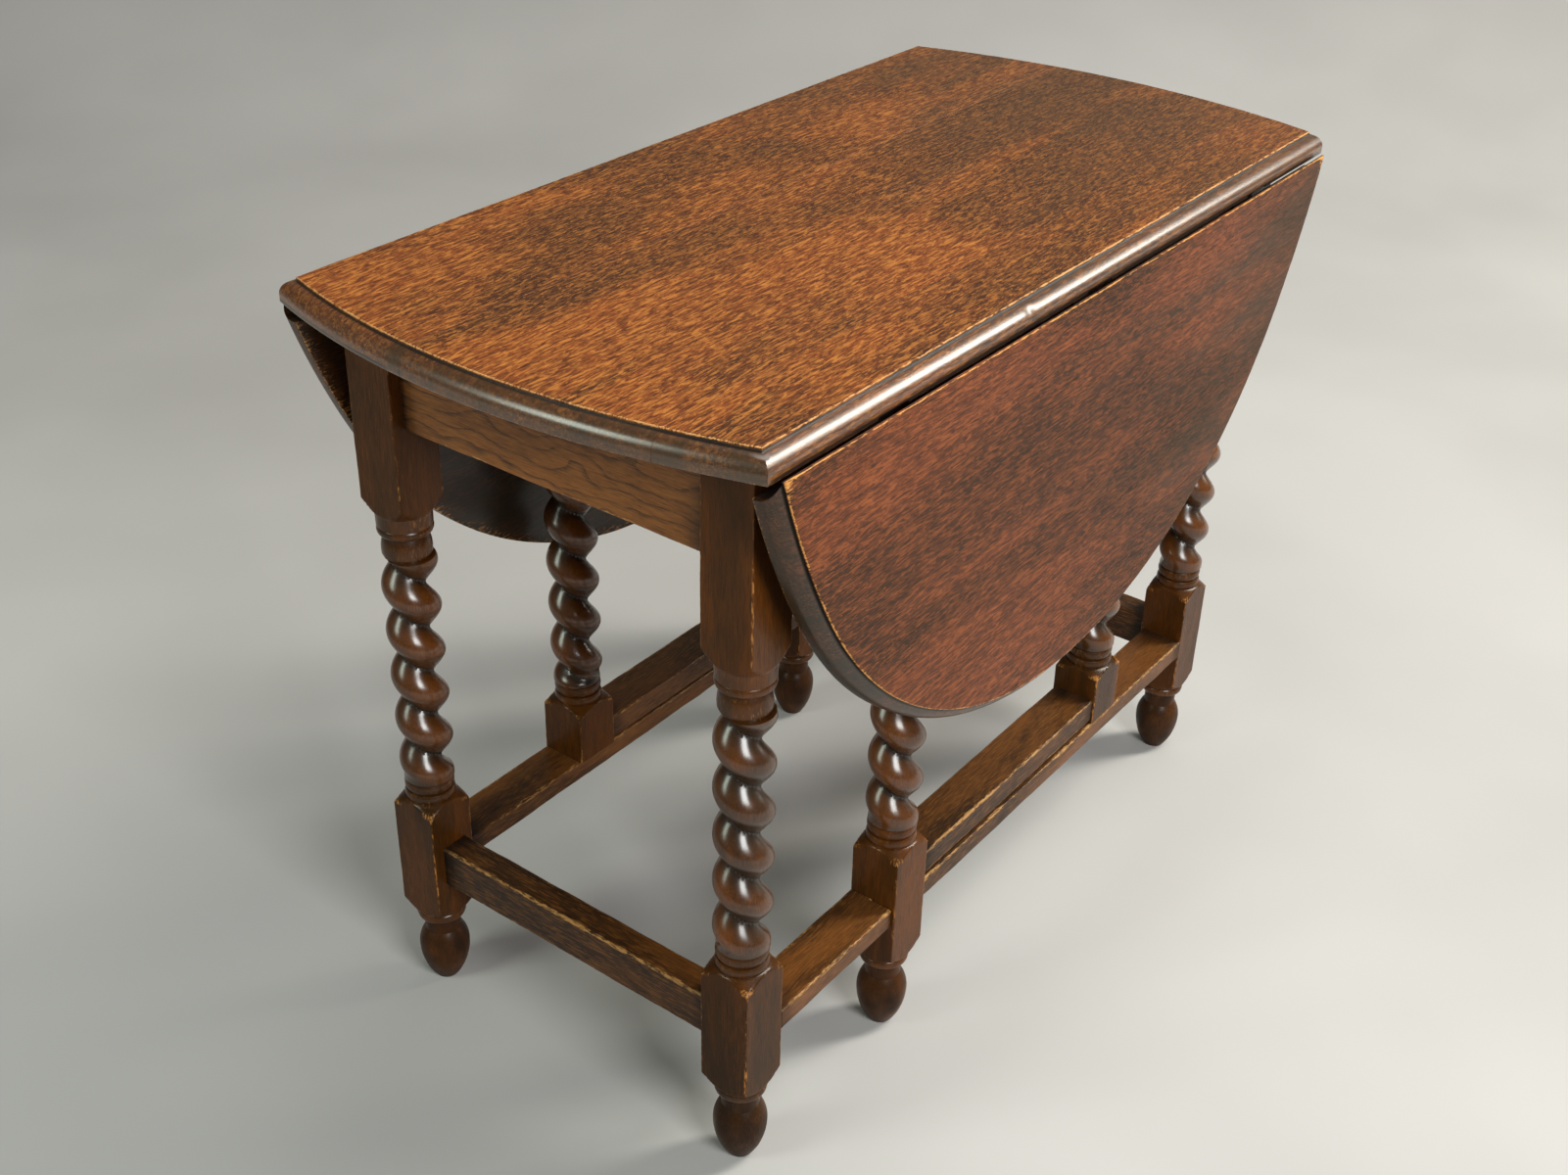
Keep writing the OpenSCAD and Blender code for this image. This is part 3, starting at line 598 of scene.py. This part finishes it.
def pivot_profile(low, block_low, block_top, high):
    """Profile of a pivot post, with a pintle below block_low and another above block_top."""
    return (straight(low, block_low - 0.1 * MM, PINTLE_R, PINTLE_R)
            + straight(block_low, block_low + 0.8 * MM, CORNER_R - 1.2 * MM, CORNER_R)
            + straight(block_low + 3 * MM, PIVOT_BLOCK_HIGH - 1 * MM, CORNER_R, CORNER_R)
            + straight(PIVOT_BLOCK_HIGH, 221 * MM, CORNER_R, 22.9 * MM, 1 * MM)
            + shaft_low_profile() + shaft_high_profile()
            + straight(520.4 * MM, CAP_LOW, 24.4 * MM, CORNER_R, 1.2 * MM)
            + straight(CAP_LOW + 3 * MM, block_top, CORNER_R, CORNER_R)
            + straight(block_top + 0.1 * MM, high, TOP_PINTLE_R, TOP_PINTLE_R))


def gate_posts(side):
    """The pivot post and the leg of one gate, drawn at the front."""
    low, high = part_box(f"pivot_post_{side}")
    block_low, block_top = low.z + PINTLE_L, high.z - TOP_PINTLE_L
    gate_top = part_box(f"gate_leg_{side}")[1].z
    return [
        post(f"pivot_post_{side}", (PIVOT_X, -LEG_Y), f"gate_{side}", 21,
             pivot_profile(low.z, block_low, block_top, high.z),
             ((block_low, PIVOT_BLOCK_HIGH), (CAP_LOW, block_top))),
        post(f"gate_leg_{side}", (-GATE_X, -GATE_Y), f"gate_{side}", 31, leg_profile(gate_top),
             (LOW_BLOCK, (CAP_LOW, gate_top)), (STRETCHER_CUT, APRON_CUT)),
    ]


gate_posts("front")
for piece in gate_posts("back"):
    turned_about(piece)


# ---------- rails, stretchers and aprons ----------

ARRIS_STEPS = np.radians([0, 22.5, 45, 67.5, 90])
WEAR_FADE = 2.2 * MM
RAIL_STEP = 9 * MM


def section(a_low, a_high, b_low, b_high, rounds):
    """Points round a rectangle whose four corners have their own radii, and which of them lie on a corner.

    Each corner also has a point before and after it, so that its wear fades out over the flat.
    """
    corners = ((a_high, b_high, 0), (a_low, b_high, 1), (a_low, b_low, 2), (a_high, b_low, 3))
    points, edge = [], []
    for (a, b, quarter), r in zip(corners, rounds):
        inward_a, inward_b = (-1 if a == a_high else 1), (-1 if b == b_high else 1)
        centre_a, centre_b = a + inward_a * r, b + inward_b * r
        start = quarter * math.pi / 2
        end = start + math.pi / 2
        points.append((centre_a + r * math.cos(start) + WEAR_FADE * math.sin(start),
                       centre_b + r * math.sin(start) - WEAR_FADE * math.cos(start)))
        points += [(centre_a + r * math.cos(start + step), centre_b + r * math.sin(start + step))
                   for step in ARRIS_STEPS]
        points.append((centre_a + r * math.cos(end) - WEAR_FADE * math.sin(end),
                       centre_b + r * math.sin(end) + WEAR_FADE * math.cos(end)))
        edge += [0] + [1] * len(ARRIS_STEPS) + [0]
    return points, edge


def rail(name, axis, low, high, body, look, seed, arris=1.3, wear=(0.5, 0.5, 0.5, 0.5), notch=None,
         grime_and_shade=0.1):
    """A board along X or Y, from corner low to corner high, with worn arrises.

    look is (slot, materials by axis); the slot is not used. wear is for the corners (+a +b), (-a +b), (-a
    -b), (+a -b), where b is
    Z and a is the level direction across the board. arris is their usual radius in millimetres. notch is
    (start, end, a), where the low side rises to a; each of its ends has a ring before the step and one
    after it.
    """
    slot, materials = look
    along = 0 if axis == "x" else 1
    across = 1 - along
    count = max(4, int((high[along] - low[along]) / RAIL_STEP))
    places = [(s, low[across]) for s in np.linspace(low[along], high[along], count)]
    if notch:
        start, end, cut = notch
        places = [(s, cut if start < s < end else a_low) for s, a_low in places]
        places += [(start, low[across]), (start, cut), (end, cut), (end, low[across])]
    places.sort(key=lambda place: place[0])
    rings, marks = [], []
    for s, a_low in places:
        spot = np.array([[s, 31 * seed + 7 * c, 5.0 * c] for c in range(4)])
        patch = rough_noise(spot, 26 * MM, seed)
        rounds = np.clip(arris * (1 + 0.8 * patch), 0.35, 4) * MM
        points, edge = section(a_low, high[across], low[2], high[2], rounds)
        edge = np.array(edge, float)
        strength = np.repeat([w * (1 + 0.75 * p) for w, p in zip(wear, patch)], len(edge) // 4)
        ring = np.zeros((len(points), 3))
        ring[:, along] = s
        ring[:, (across, 2)] = points
        rings.append(ring)
        end_distance = min(abs(s - low[along]), abs(high[along] - s))
        # Dirty wood along the whole rail, with painted shade darkening the last 34 mm towards the posts.
        soil_and_shade = np.full(len(points), grime_and_shade + 0.6 * float(smooth(end_distance, 34 * MM, 0)))
        marks.append((edge * strength * 0.8, soil_and_shade, 0 * soil_and_shade, 0 * soil_and_shade))
    return add_piece(name + "_oak", np.array(rings), np.array(marks).swapaxes(0, 1), body,
                     materials[axis], [name])


SPAN_X = LEG_X - POST_HALF
SPAN_Y = LEG_Y - POST_HALF
OUTER_FACE_X = 405 * MM
END_STRETCHER_T, END_APRON_T = 28 * MM, 20 * MM
STRETCHER_LOW, STRETCHER_HIGH = 139.5 * MM, 160 * MM
END_STRETCHER_LOW, END_STRETCHER_HIGH = 129.75 * MM, 171.75 * MM
APRON_LOW = 606 * MM
SIDE_STRETCHER_OUT, SIDE_STRETCHER_IN = -208 * MM, -162 * MM
SIDE_APRON_OUT, SIDE_APRON_IN = -196 * MM, -176 * MM
STRETCHER_NOTCH_Y, APRON_NOTCH_Y = -186 * MM, -188 * MM
NOTCH = (-GATE_X - POST_HALF - 1 * MM, -GATE_X + POST_HALF + 2.5 * MM)
RAIL_LOOKS, APRON_LOOKS = ("oak_rail", RAILS), ("oak_apron", APRONS)


def side_rails(side):
    """The stretcher, the apron and both gate rails of one side, drawn at the front."""
    gate_low, gate_high = -GATE_X + POST_HALF, PIVOT_X - POST_HALF
    made = [
        rail(f"side_stretcher_{side}", "x", (-SPAN_X, SIDE_STRETCHER_OUT, STRETCHER_LOW),
             (SPAN_X, SIDE_STRETCHER_IN, STRETCHER_HIGH), "frame", RAIL_LOOKS, 41,
             arris=1.7, wear=(0.5, 0.78, 0.3, 0.3), notch=(*NOTCH, STRETCHER_NOTCH_Y)),
        rail(f"side_apron_{side}", "x", (-SPAN_X, SIDE_APRON_OUT, APRON_LOW),
             (SPAN_X, SIDE_APRON_IN, UNDER_Z), "frame", APRON_LOOKS, 43,
             wear=(0.2, 0.2, 0.5, 0.4), notch=(*NOTCH, APRON_NOTCH_Y)),
    ]
    for which, seed in (("upper", 47), ("lower", 49)):
        low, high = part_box(f"gate_{which}_rail_{side}")
        half_t = (high.y - low.y) / 2
        made.append(rail(f"gate_{which}_rail_{side}", "x", (gate_low, -LEG_Y - half_t, low.z),
                         (gate_high, -LEG_Y + half_t, high.z), f"gate_{side}", RAIL_LOOKS, seed,
                         arris=1.5, wear=(0.45, 0.8, 0.55, 0.35)))
    return made


def end_rails(side, sign):
    """The stretcher and the apron of one end; sign is the side of X that they stand on."""
    x_low, x_high = sorted((sign * (OUTER_FACE_X - END_STRETCHER_T), sign * OUTER_FACE_X))
    outer_wear = (0.35, 0.85, 0.5, 0.3) if sign < 0 else (0.85, 0.35, 0.3, 0.5)
    rail(f"end_stretcher_{side}", "y", (x_low, -SPAN_Y, END_STRETCHER_LOW),
         (x_high, SPAN_Y, END_STRETCHER_HIGH), "frame", RAIL_LOOKS, 53 + sign, arris=1.8, wear=outer_wear)
    x_low, x_high = sorted((sign * (OUTER_FACE_X - END_APRON_T), sign * OUTER_FACE_X))
    rail(f"end_apron_{side}", "y", (x_low, -SPAN_Y, APRON_LOW), (x_high, SPAN_Y, UNDER_Z), "frame",
         APRON_LOOKS, 57 + sign, wear=(0.1, 0.1, 0.5, 0.5), grime_and_shade=0.05)


side_rails("front")
for piece in side_rails("back"):
    turned_about(piece)
end_rails("left", -1)
end_rails("right", 1)


# ---------- top and leaves ----------

OVOLO_STEPS = np.radians([90, 84, 76, 67, 58, 49, 40, 31, 22, 13, 5, 0])
# Painted shadow: a dark band at the foot of the moulding stands for the shaded gap of the rule joint.
GAP_SHADOW = 0.95
LONG_EDGE_STAIN = 0.6
NICK_AT = np.array((-110 * MM, -239 * MM, 721 * MM))
NICK_SIZE, NICK_DEPTH = 5.5 * MM, 1.1 * MM
DENSE_X = NICK_AT[0] + np.array((-12, -8, -5, -2.5, 0, 2.5, 5, 8, 12)) * MM


def edge_levels():
    """(offset beyond the step line, height, wear, dirtiness with painted shade) for each ring round the edge
    of a board.

    The rings run from the flat top, over the arris and down the step and the moulding, to the underside. The
    fourth value also paints shade in the crease at the foot of the step and on the top of the round below it,
    and paints the gap shadow along the foot of the moulding; the underside is darker as well.
    """
    # Painted shade in the crease under the step (0.7, 1) and on the top of the round below it.
    rows = [(-9 * MM, TOP_Z, 0, 0), (-1.9 * MM, TOP_Z, 0.1, 0), (-0.75 * MM, TOP_Z - 0.04 * MM, 0.75, 0),
            (-0.25 * MM, TOP_Z - 0.25 * MM, 1, 0), (0, TOP_Z - 0.8 * MM, 0.75, 0),
            (0.05 * MM, TOP_Z - 1.6 * MM, 0, 0.7), (0.05 * MM, TOP_Z - STEP_H, 0, 1)]
    for a in OVOLO_STEPS:
        top_of_round = float(smooth(a, math.radians(72), math.radians(90)))
        rows.append((min(MOULD_R, MOULD_R * math.cos(a) + 0.06 * MM),
                     OVOLO_Z + MOULD_R * math.sin(a) - 0.03 * MM, 0.12, 0.9 * top_of_round))
    # Painted shadow of the joint gap along the foot of the moulding.
    rows += [(MOULD_R, UNDER_Z + 4.2 * MM, 0.1, 0.1), (MOULD_R, UNDER_Z + 3.4 * MM, 0.1, GAP_SHADOW),
             (MOULD_R, UNDER_Z + 0.9 * MM, 0.4, GAP_SHADOW),
             (MOULD_R - 0.3 * MM, UNDER_Z + 0.3 * MM, 0.6, 0.1), (MOULD_R - 0.9 * MM, UNDER_Z, 0.4, 0.2),
             (-4 * MM, UNDER_Z, 0, 0.4)]
    return rows


def end_x(y, offset):
    """Half length of the top at y, for an outline set out by offset."""
    return np.sqrt((END_R + offset) ** 2 - np.asarray(y) ** 2) - END_CENTRE


def nick(points):
    """How deep the dent in the front moulding is at each point."""
    return NICK_DEPTH * np.exp(-((points - NICK_AT) ** 2).sum(1) / NICK_SIZE**2)


def moulded(z):
    """1 on the moulding below the step, 0 on the flat top."""
    return float(smooth(z, TOP_Z - 1.0 * MM, TOP_Z - 2.2 * MM))


def top_board(name, y_low, y_high, material, seed, moulded_low=False, moulded_high=False):
    """One board of the fixed panel; moulded_low and moulded_high say which long edges carry the moulding."""
    rings, marks = [], []
    count_x = 106 + len(DENSE_X)
    count_y = max(4, int((y_high - y_low) / (9 * MM)))
    for offset, z, wear, grime_and_shade in edge_levels():
        seam_inset = 0.12 * MM + 0.3 * MM * float(smooth(z, TOP_Z - 0.5 * MM, TOP_Z))
        y0 = y_low - offset if moulded_low else y_low + seam_inset
        y1 = y_high + offset if moulded_high else y_high - seam_inset
        xa, xb = float(end_x(y0, offset)), float(end_x(y1, offset))
        right = np.linspace(y0, y1, count_y + 1)[:-1]
        left = right[::-1] + (y1 - y0) / count_y
        front = np.sort(np.append(np.linspace(-xa, xa, count_x - len(DENSE_X) + 1)[:-1], DENSE_X))
        x = np.concatenate([front, end_x(right, offset),
                            np.linspace(xb, -xb, count_x + 1)[:-1], -end_x(left, offset)])
        y = np.concatenate([np.full(count_x, y0), right, np.full(count_x, y1), left])
        kind = np.concatenate([np.full(count_x, float(moulded_low)), np.ones(count_y),
                               np.full(count_x, float(moulded_high)), np.ones(count_y)])
        kind[[0, count_x + count_y]] = 1
        points = np.stack([x, y, np.full(len(x), z)], 1)
        outline = np.stack([x, y, np.full(len(x), TOP_Z)], 1)
        patch = rough_noise(outline, 14 * MM, seed)
        broad = rough_noise(outline, 60 * MM, seed + 9)
        points[:, 1] += nick(points)
        arris = wear > 0.6 and z > TOP_Z - 1 * MM
        if arris:
            points[:, 2] -= 0.22 * MM * np.clip(patch + 0.3, 0, 1) * kind
        rings.append(points)
        spread = wear * (0.82 + 0.35 * patch + 0.2 * broad) if arris else wear * (1 + 0.8 * patch)
        moulding = kind * moulded(z)
        stain = moulding * np.where(np.abs(x) < xa - 1 * MM, LONG_EDGE_STAIN, 1)
        soil_and_shade = grime_and_shade * kind * (0.9 + 0.2 * broad)
        # The painted gap shadow stays only along the long edges, and takes no wear.
        if grime_and_shade == GAP_SHADOW:
            soil_and_shade = np.where(np.abs(x) < xa - 1 * MM, soil_and_shade, 0.1)
            spread = 0 * spread
        marks.append((spread * kind, soil_and_shade, stain, moulding))
    return add_piece(name + "_oak", np.array(rings), np.array(marks).swapaxes(0, 1), "frame",
                     material, [name])


def hinge_recesses(sign):
    """Housings for the fixed plates, the raised straps and the knuckles under one side of the panel."""
    clear = 0.5 * MM
    boxes = []
    for x in HINGE_XS:
        for near, far, high in ((-PLATE_L, MOULD_R, UNDER_Z + FLAP_T),
                                (KNUCKLE_ROOM - clear, MOULD_R + 1 * MM, UNDER_Z + FLAP_T + clear),
                                (-KNUCKLE_ROOM, KNUCKLE_ROOM, AXIS_Z + KNUCKLE_ROOM)):
            ys = sorted((sign * (PANEL_HALF_W + near), sign * (PANEL_HALF_W + far)))
            boxes.append(((x - HINGE_W / 2 - clear, ys[0], UNDER_Z - 1 * MM),
                          (x + HINGE_W / 2 + clear, ys[1], high)))
    return boxes


front_board = top_board("top_board_front", -PANEL_HALF_W, SEAM_FRONT, TOPS["front"], 61, moulded_low=True)
cut_boxes(front_board, hinge_recesses(-1))
top_board("top_board_middle", SEAM_FRONT, SEAM_BACK, TOPS["middle"], 63)
back_board = top_board("top_board_back", SEAM_BACK, PANEL_HALF_W, TOPS["back"], 65, moulded_high=True)
cut_boxes(back_board, hinge_recesses(1))


HOLLOW_STEPS = np.radians([88, 84, 79, 73, 66, 58, 50, 42, 33, 24, 15, 6])


def leaf_levels():
    """Edge levels with the heights that the hollow of the rule joint needs as well."""
    rows = edge_levels()
    heights = [r[1] for r in rows]
    for z in (AXIS_Z + HOLLOW_R * math.sin(a) for a in HOLLOW_STEPS):
        if min(abs(z - h) for h in heights) > 0.12 * MM:
            if z > OVOLO_Z + MOULD_R:
                offset, wear, grime_and_shade = 0.05 * MM, 0, 0.8
            elif z > OVOLO_Z:
                offset, wear, grime_and_shade = math.sqrt(MOULD_R**2 - (z - OVOLO_Z) ** 2), 0.12, 0
            else:
                offset, wear, grime_and_shade = MOULD_R, 0.1, 0.1
            rows.append((offset, z, wear, grime_and_shade))
    return sorted(rows, key=lambda r: (-r[1], r[0]) if r[1] > UNDER_Z + 0.01 * MM else (-r[1], -r[0]))


def inner_y(z):
    """Where the leaf's inner edge stands at height z: a flat lip above the hollow of the rule joint."""
    lip = PANEL_HALF_W + LEAF_GAP
    drop = HOLLOW_R**2 - (z - AXIS_Z) ** 2
    return max(lip, PANEL_HALF_W + math.sqrt(drop)) if drop > 0 else lip


def leaf(side, material, seed):
    """A whole leaf, drawn raised on the front side and then let down about the rule joint's axis."""
    rings, marks = [], []
    for offset, z, wear, grime_and_shade in leaf_levels():
        flat = max(0, -offset) if abs(z - TOP_Z) < 1e-9 or abs(z - UNDER_Z) < 1e-9 else 0
        y_in = inner_y(z) + (flat if offset < -1 * MM else 0)
        if z > TOP_Z - 0.5 * MM and offset > -1 * MM:
            y_in += 0.5 * MM * float(smooth(z, TOP_Z - 0.6 * MM, TOP_Z))
        change = ARC_CHANGE + offset * SIDE_CENTRE / (END_R - SIDE_R)
        arc_y = np.linspace(y_in, change, 17)[:-1]
        swing = np.linspace(math.asin((change - SIDE_CENTRE) / (SIDE_R + offset)),
                            math.pi - math.asin((change - SIDE_CENTRE) / (SIDE_R + offset)), 111)
        x_in = float(end_x(y_in, offset))
        inner_x = np.linspace(-x_in, x_in, 102)[1:-1]
        x = np.concatenate([inner_x, end_x(arc_y, offset), (SIDE_R + offset) * np.cos(swing),
                            -end_x(arc_y[::-1], offset)])
        y = np.concatenate([np.full(len(inner_x), y_in), arc_y,
                            SIDE_CENTRE + (SIDE_R + offset) * np.sin(swing), arc_y[::-1]])
        is_inner = np.zeros(len(x))
        is_inner[:len(inner_x)] = 1
        points = np.stack([x, -y, np.full(len(x), z)], 1)
        outline = np.stack([x, -y, np.full(len(x), TOP_Z)], 1)
        patch = rough_noise(outline, 13 * MM, seed)
        corner = np.exp(-((np.abs(x) - x_in) ** 2 + (y - y_in) ** 2) / (11 * MM) ** 2)
        arris = wear > 0.6 and z > TOP_Z - 1 * MM
        if arris:
            points[:, 2] -= 0.2 * MM * np.clip(patch + 0.3, 0, 1) + 0.5 * MM * corner
        spread = wear * (0.78 + 0.4 * patch) if arris else wear * (1 + 0.6 * patch) * (1 - is_inner)
        if z > TOP_Z - 1.2 * MM:
            spread = np.maximum(spread, corner * (0.75 if offset > -3 * MM else 0.2))
        # Painted shade: the leaf's inner face darkens below the top, down in the gap of the rule joint.
        soil_and_shade = np.where(is_inner > 0, float(smooth(z, TOP_Z - 2.9 * MM, TOP_Z - 3.6 * MM)),
                        0.1 if grime_and_shade == GAP_SHADOW else grime_and_shade)
        rings.append(points)
        moulding = (1 - is_inner) * moulded(z)
        marks.append((spread, soil_and_shade, moulding, moulding))
    piece = add_piece(f"leaf_{side}_oak", np.array(rings), np.array(marks).swapaxes(0, 1), f"leaf_{side}",
                      material, [f"leaf_{side}_inner", f"leaf_{side}_outer"])
    cut_boxes(piece, [((x - HINGE_W / 2, -PANEL_HALF_W - STRAP_L, UNDER_Z - 1 * MM),
                       (x + HINGE_W / 2, -PANEL_HALF_W, UNDER_Z + FLAP_T)) for x in HINGE_XS])
    axis = Vector((0, -PANEL_HALF_W, AXIS_Z))
    hang = Matrix.Translation(axis) @ Matrix.Rotation(math.pi / 2, 4, "X") @ Matrix.Translation(-axis)
    piece.data.transform(hang)
    return piece


leaf("front", LEAVES["front"], 71)
turned_about(leaf("back", LEAVES["back"], 73))


# ---------- metal and glue blocks keep their CAD shapes ----------

IRON = old_metal("iron_old", "#2d2621", "#4a2e1c", 0.75, 0.45)
STEEL = old_metal("steel_old", "#56504a", "#503726", 0.85, 0.38)
BLOCK_OAK = oak("oak_glue_block", "x", base="#7a5230", dark="#4f3119", fleck="#8f683f", worn="#b78b58",
                coat=0.0, rough=0.6)
for node, shown in frame["nodes"].items():
    material = None
    if node.startswith(("hinge_plates", "hinge_straps")):
        material = IRON
    elif node.startswith(("hinge_pins", "plate_screws", "strap_screws")):
        material = STEEL
    elif node == "glue_blocks":
        material = BLOCK_OAK
    if material is not None:
        shown.data.materials.clear()
        shown.data.materials.append(material)


# ---------- floor, light and camera ----------

CAMERA_AT = Vector((-1.3121, -0.8939, 1.2923))
YAW, PITCH, ROLL = 0.63455, -0.54773, 0.02482
FOCAL_PX, FRAME_PX, SENSOR = 1912.2, 1601, 36.0


def cyclorama():
    """Pale floor that curves up into a back wall."""
    g = Graph("backdrop")
    p = g.place((0, 0, 0), (0, 0, 0))
    tone = g.noise(p, 1.3, 3)
    pale = g.mix(g.ramp(tone, 0.3, 0.7), linear("#b3b1b0"), linear("#bebcbb"))
    height = g.nodes.new("ShaderNodeSeparateXYZ")
    g.links.new(p, height.inputs[0])
    shade = g.ramp(height.outputs["Z"], 0.0, 0.8)
    g.put(g.mix(shade, pale, linear("#7d7d7a")), g.shader.inputs["Base Color"])
    g.shader.inputs["Roughness"].default_value = 0.75
    mesh = bpy.data.meshes.new("floor")
    bm = bmesh.new()
    half, far, bend_r, wall = 12.0, 3.6, 1.4, 5.0
    away = Vector((math.cos(YAW), math.sin(YAW), 0))
    side = Vector((-away.y, away.x, 0))
    path = [(-half, 0.0), (far - bend_r, 0.0)]
    path += [(far - bend_r + bend_r * math.sin(a), bend_r - bend_r * math.cos(a))
             for a in np.radians(np.arange(6, 91, 6))]
    path += [(far, wall)]
    rows = [[bm.verts.new(away * s + side * t + Vector((0, 0, z))) for t in (-half, half)] for s, z in path]
    for a, b in zip(rows, rows[1:]):
        bm.faces.new((a[0], a[1], b[1], b[0]))
    bmesh.ops.recalc_face_normals(bm, faces=bm.faces)
    bm.to_mesh(mesh)
    bm.free()
    mesh.shade_smooth()
    mesh.materials.append(g.material)
    floor = bpy.data.objects.new("floor", mesh)
    bpy.context.scene.collection.objects.link(floor)


def softbox(name, direction, distance, size, watts, colour, aim=(0, 0, 0.45)):
    """A soft rectangular light at a distance from aim, in a direction seen from it."""
    light = bpy.data.lights.new(name, "AREA")
    light.shape = "RECTANGLE"
    light.size, light.size_y = size
    light.energy = watts
    light.color = colour
    lamp = bpy.data.objects.new(name, light)
    lamp.location = Vector(aim) + Vector(direction).normalized() * distance
    lamp.rotation_mode = "QUATERNION"
    lamp.rotation_quaternion = Vector(direction).to_track_quat("Z", "Y")
    bpy.context.scene.collection.objects.link(lamp)


def photo_camera():
    """Camera at the photograph's viewpoint, turned by YAW about Z, tilted by PITCH and rolled by ROLL."""
    forward = Vector((math.cos(PITCH) * math.cos(YAW), math.cos(PITCH) * math.sin(YAW), math.sin(PITCH)))
    level = forward.cross(Vector((0, 0, 1))).normalized()
    upward = level.cross(forward)
    right = math.cos(ROLL) * level + math.sin(ROLL) * upward
    up = -math.sin(ROLL) * level + math.cos(ROLL) * upward
    camera = bpy.data.objects.new("camera", bpy.data.cameras.new("camera"))
    camera.data.sensor_width = SENSOR
    camera.data.lens = SENSOR * FOCAL_PX / FRAME_PX
    camera.data.clip_start = 0.05
    camera.matrix_world = Matrix.Translation(CAMERA_AT) @ Matrix((right, up, -forward)).transposed().to_4x4()
    bpy.context.scene.collection.objects.link(camera)
    bpy.context.scene.camera = camera


def dim_world():
    """A faint even light from all round."""
    world = bpy.data.worlds.new("studio")
    world.use_nodes = True
    background = world.node_tree.nodes["Background"]
    background.inputs["Color"].default_value = (1.0, 0.99, 0.95, 1)
    background.inputs["Strength"].default_value = 0.12
    bpy.context.scene.world = world


cyclorama()
softbox("window_right", (0.744, -0.44, 0.58), 4.5, (0.8, 3.8), 235, (1.0, 0.98, 0.88), (-0.44, -0.24, 0.72))
softbox("window_front", (-0.38, -0.82, 0.50), 3.2, (1.2, 0.8), 66, (0.98, 1.0, 0.98))
softbox("window_left", (-0.80, 0.33, 0.45), 3.0, (0.8, 1.1), 25, (0.88, 1.0, 0.86))
softbox("sky", (0.30, -0.05, 1.0), 4.2, (2.4, 2.4), 50, (1.0, 0.99, 0.97))
dim_world()
photo_camera()
bpy.context.scene.view_settings.view_transform = "Standard"
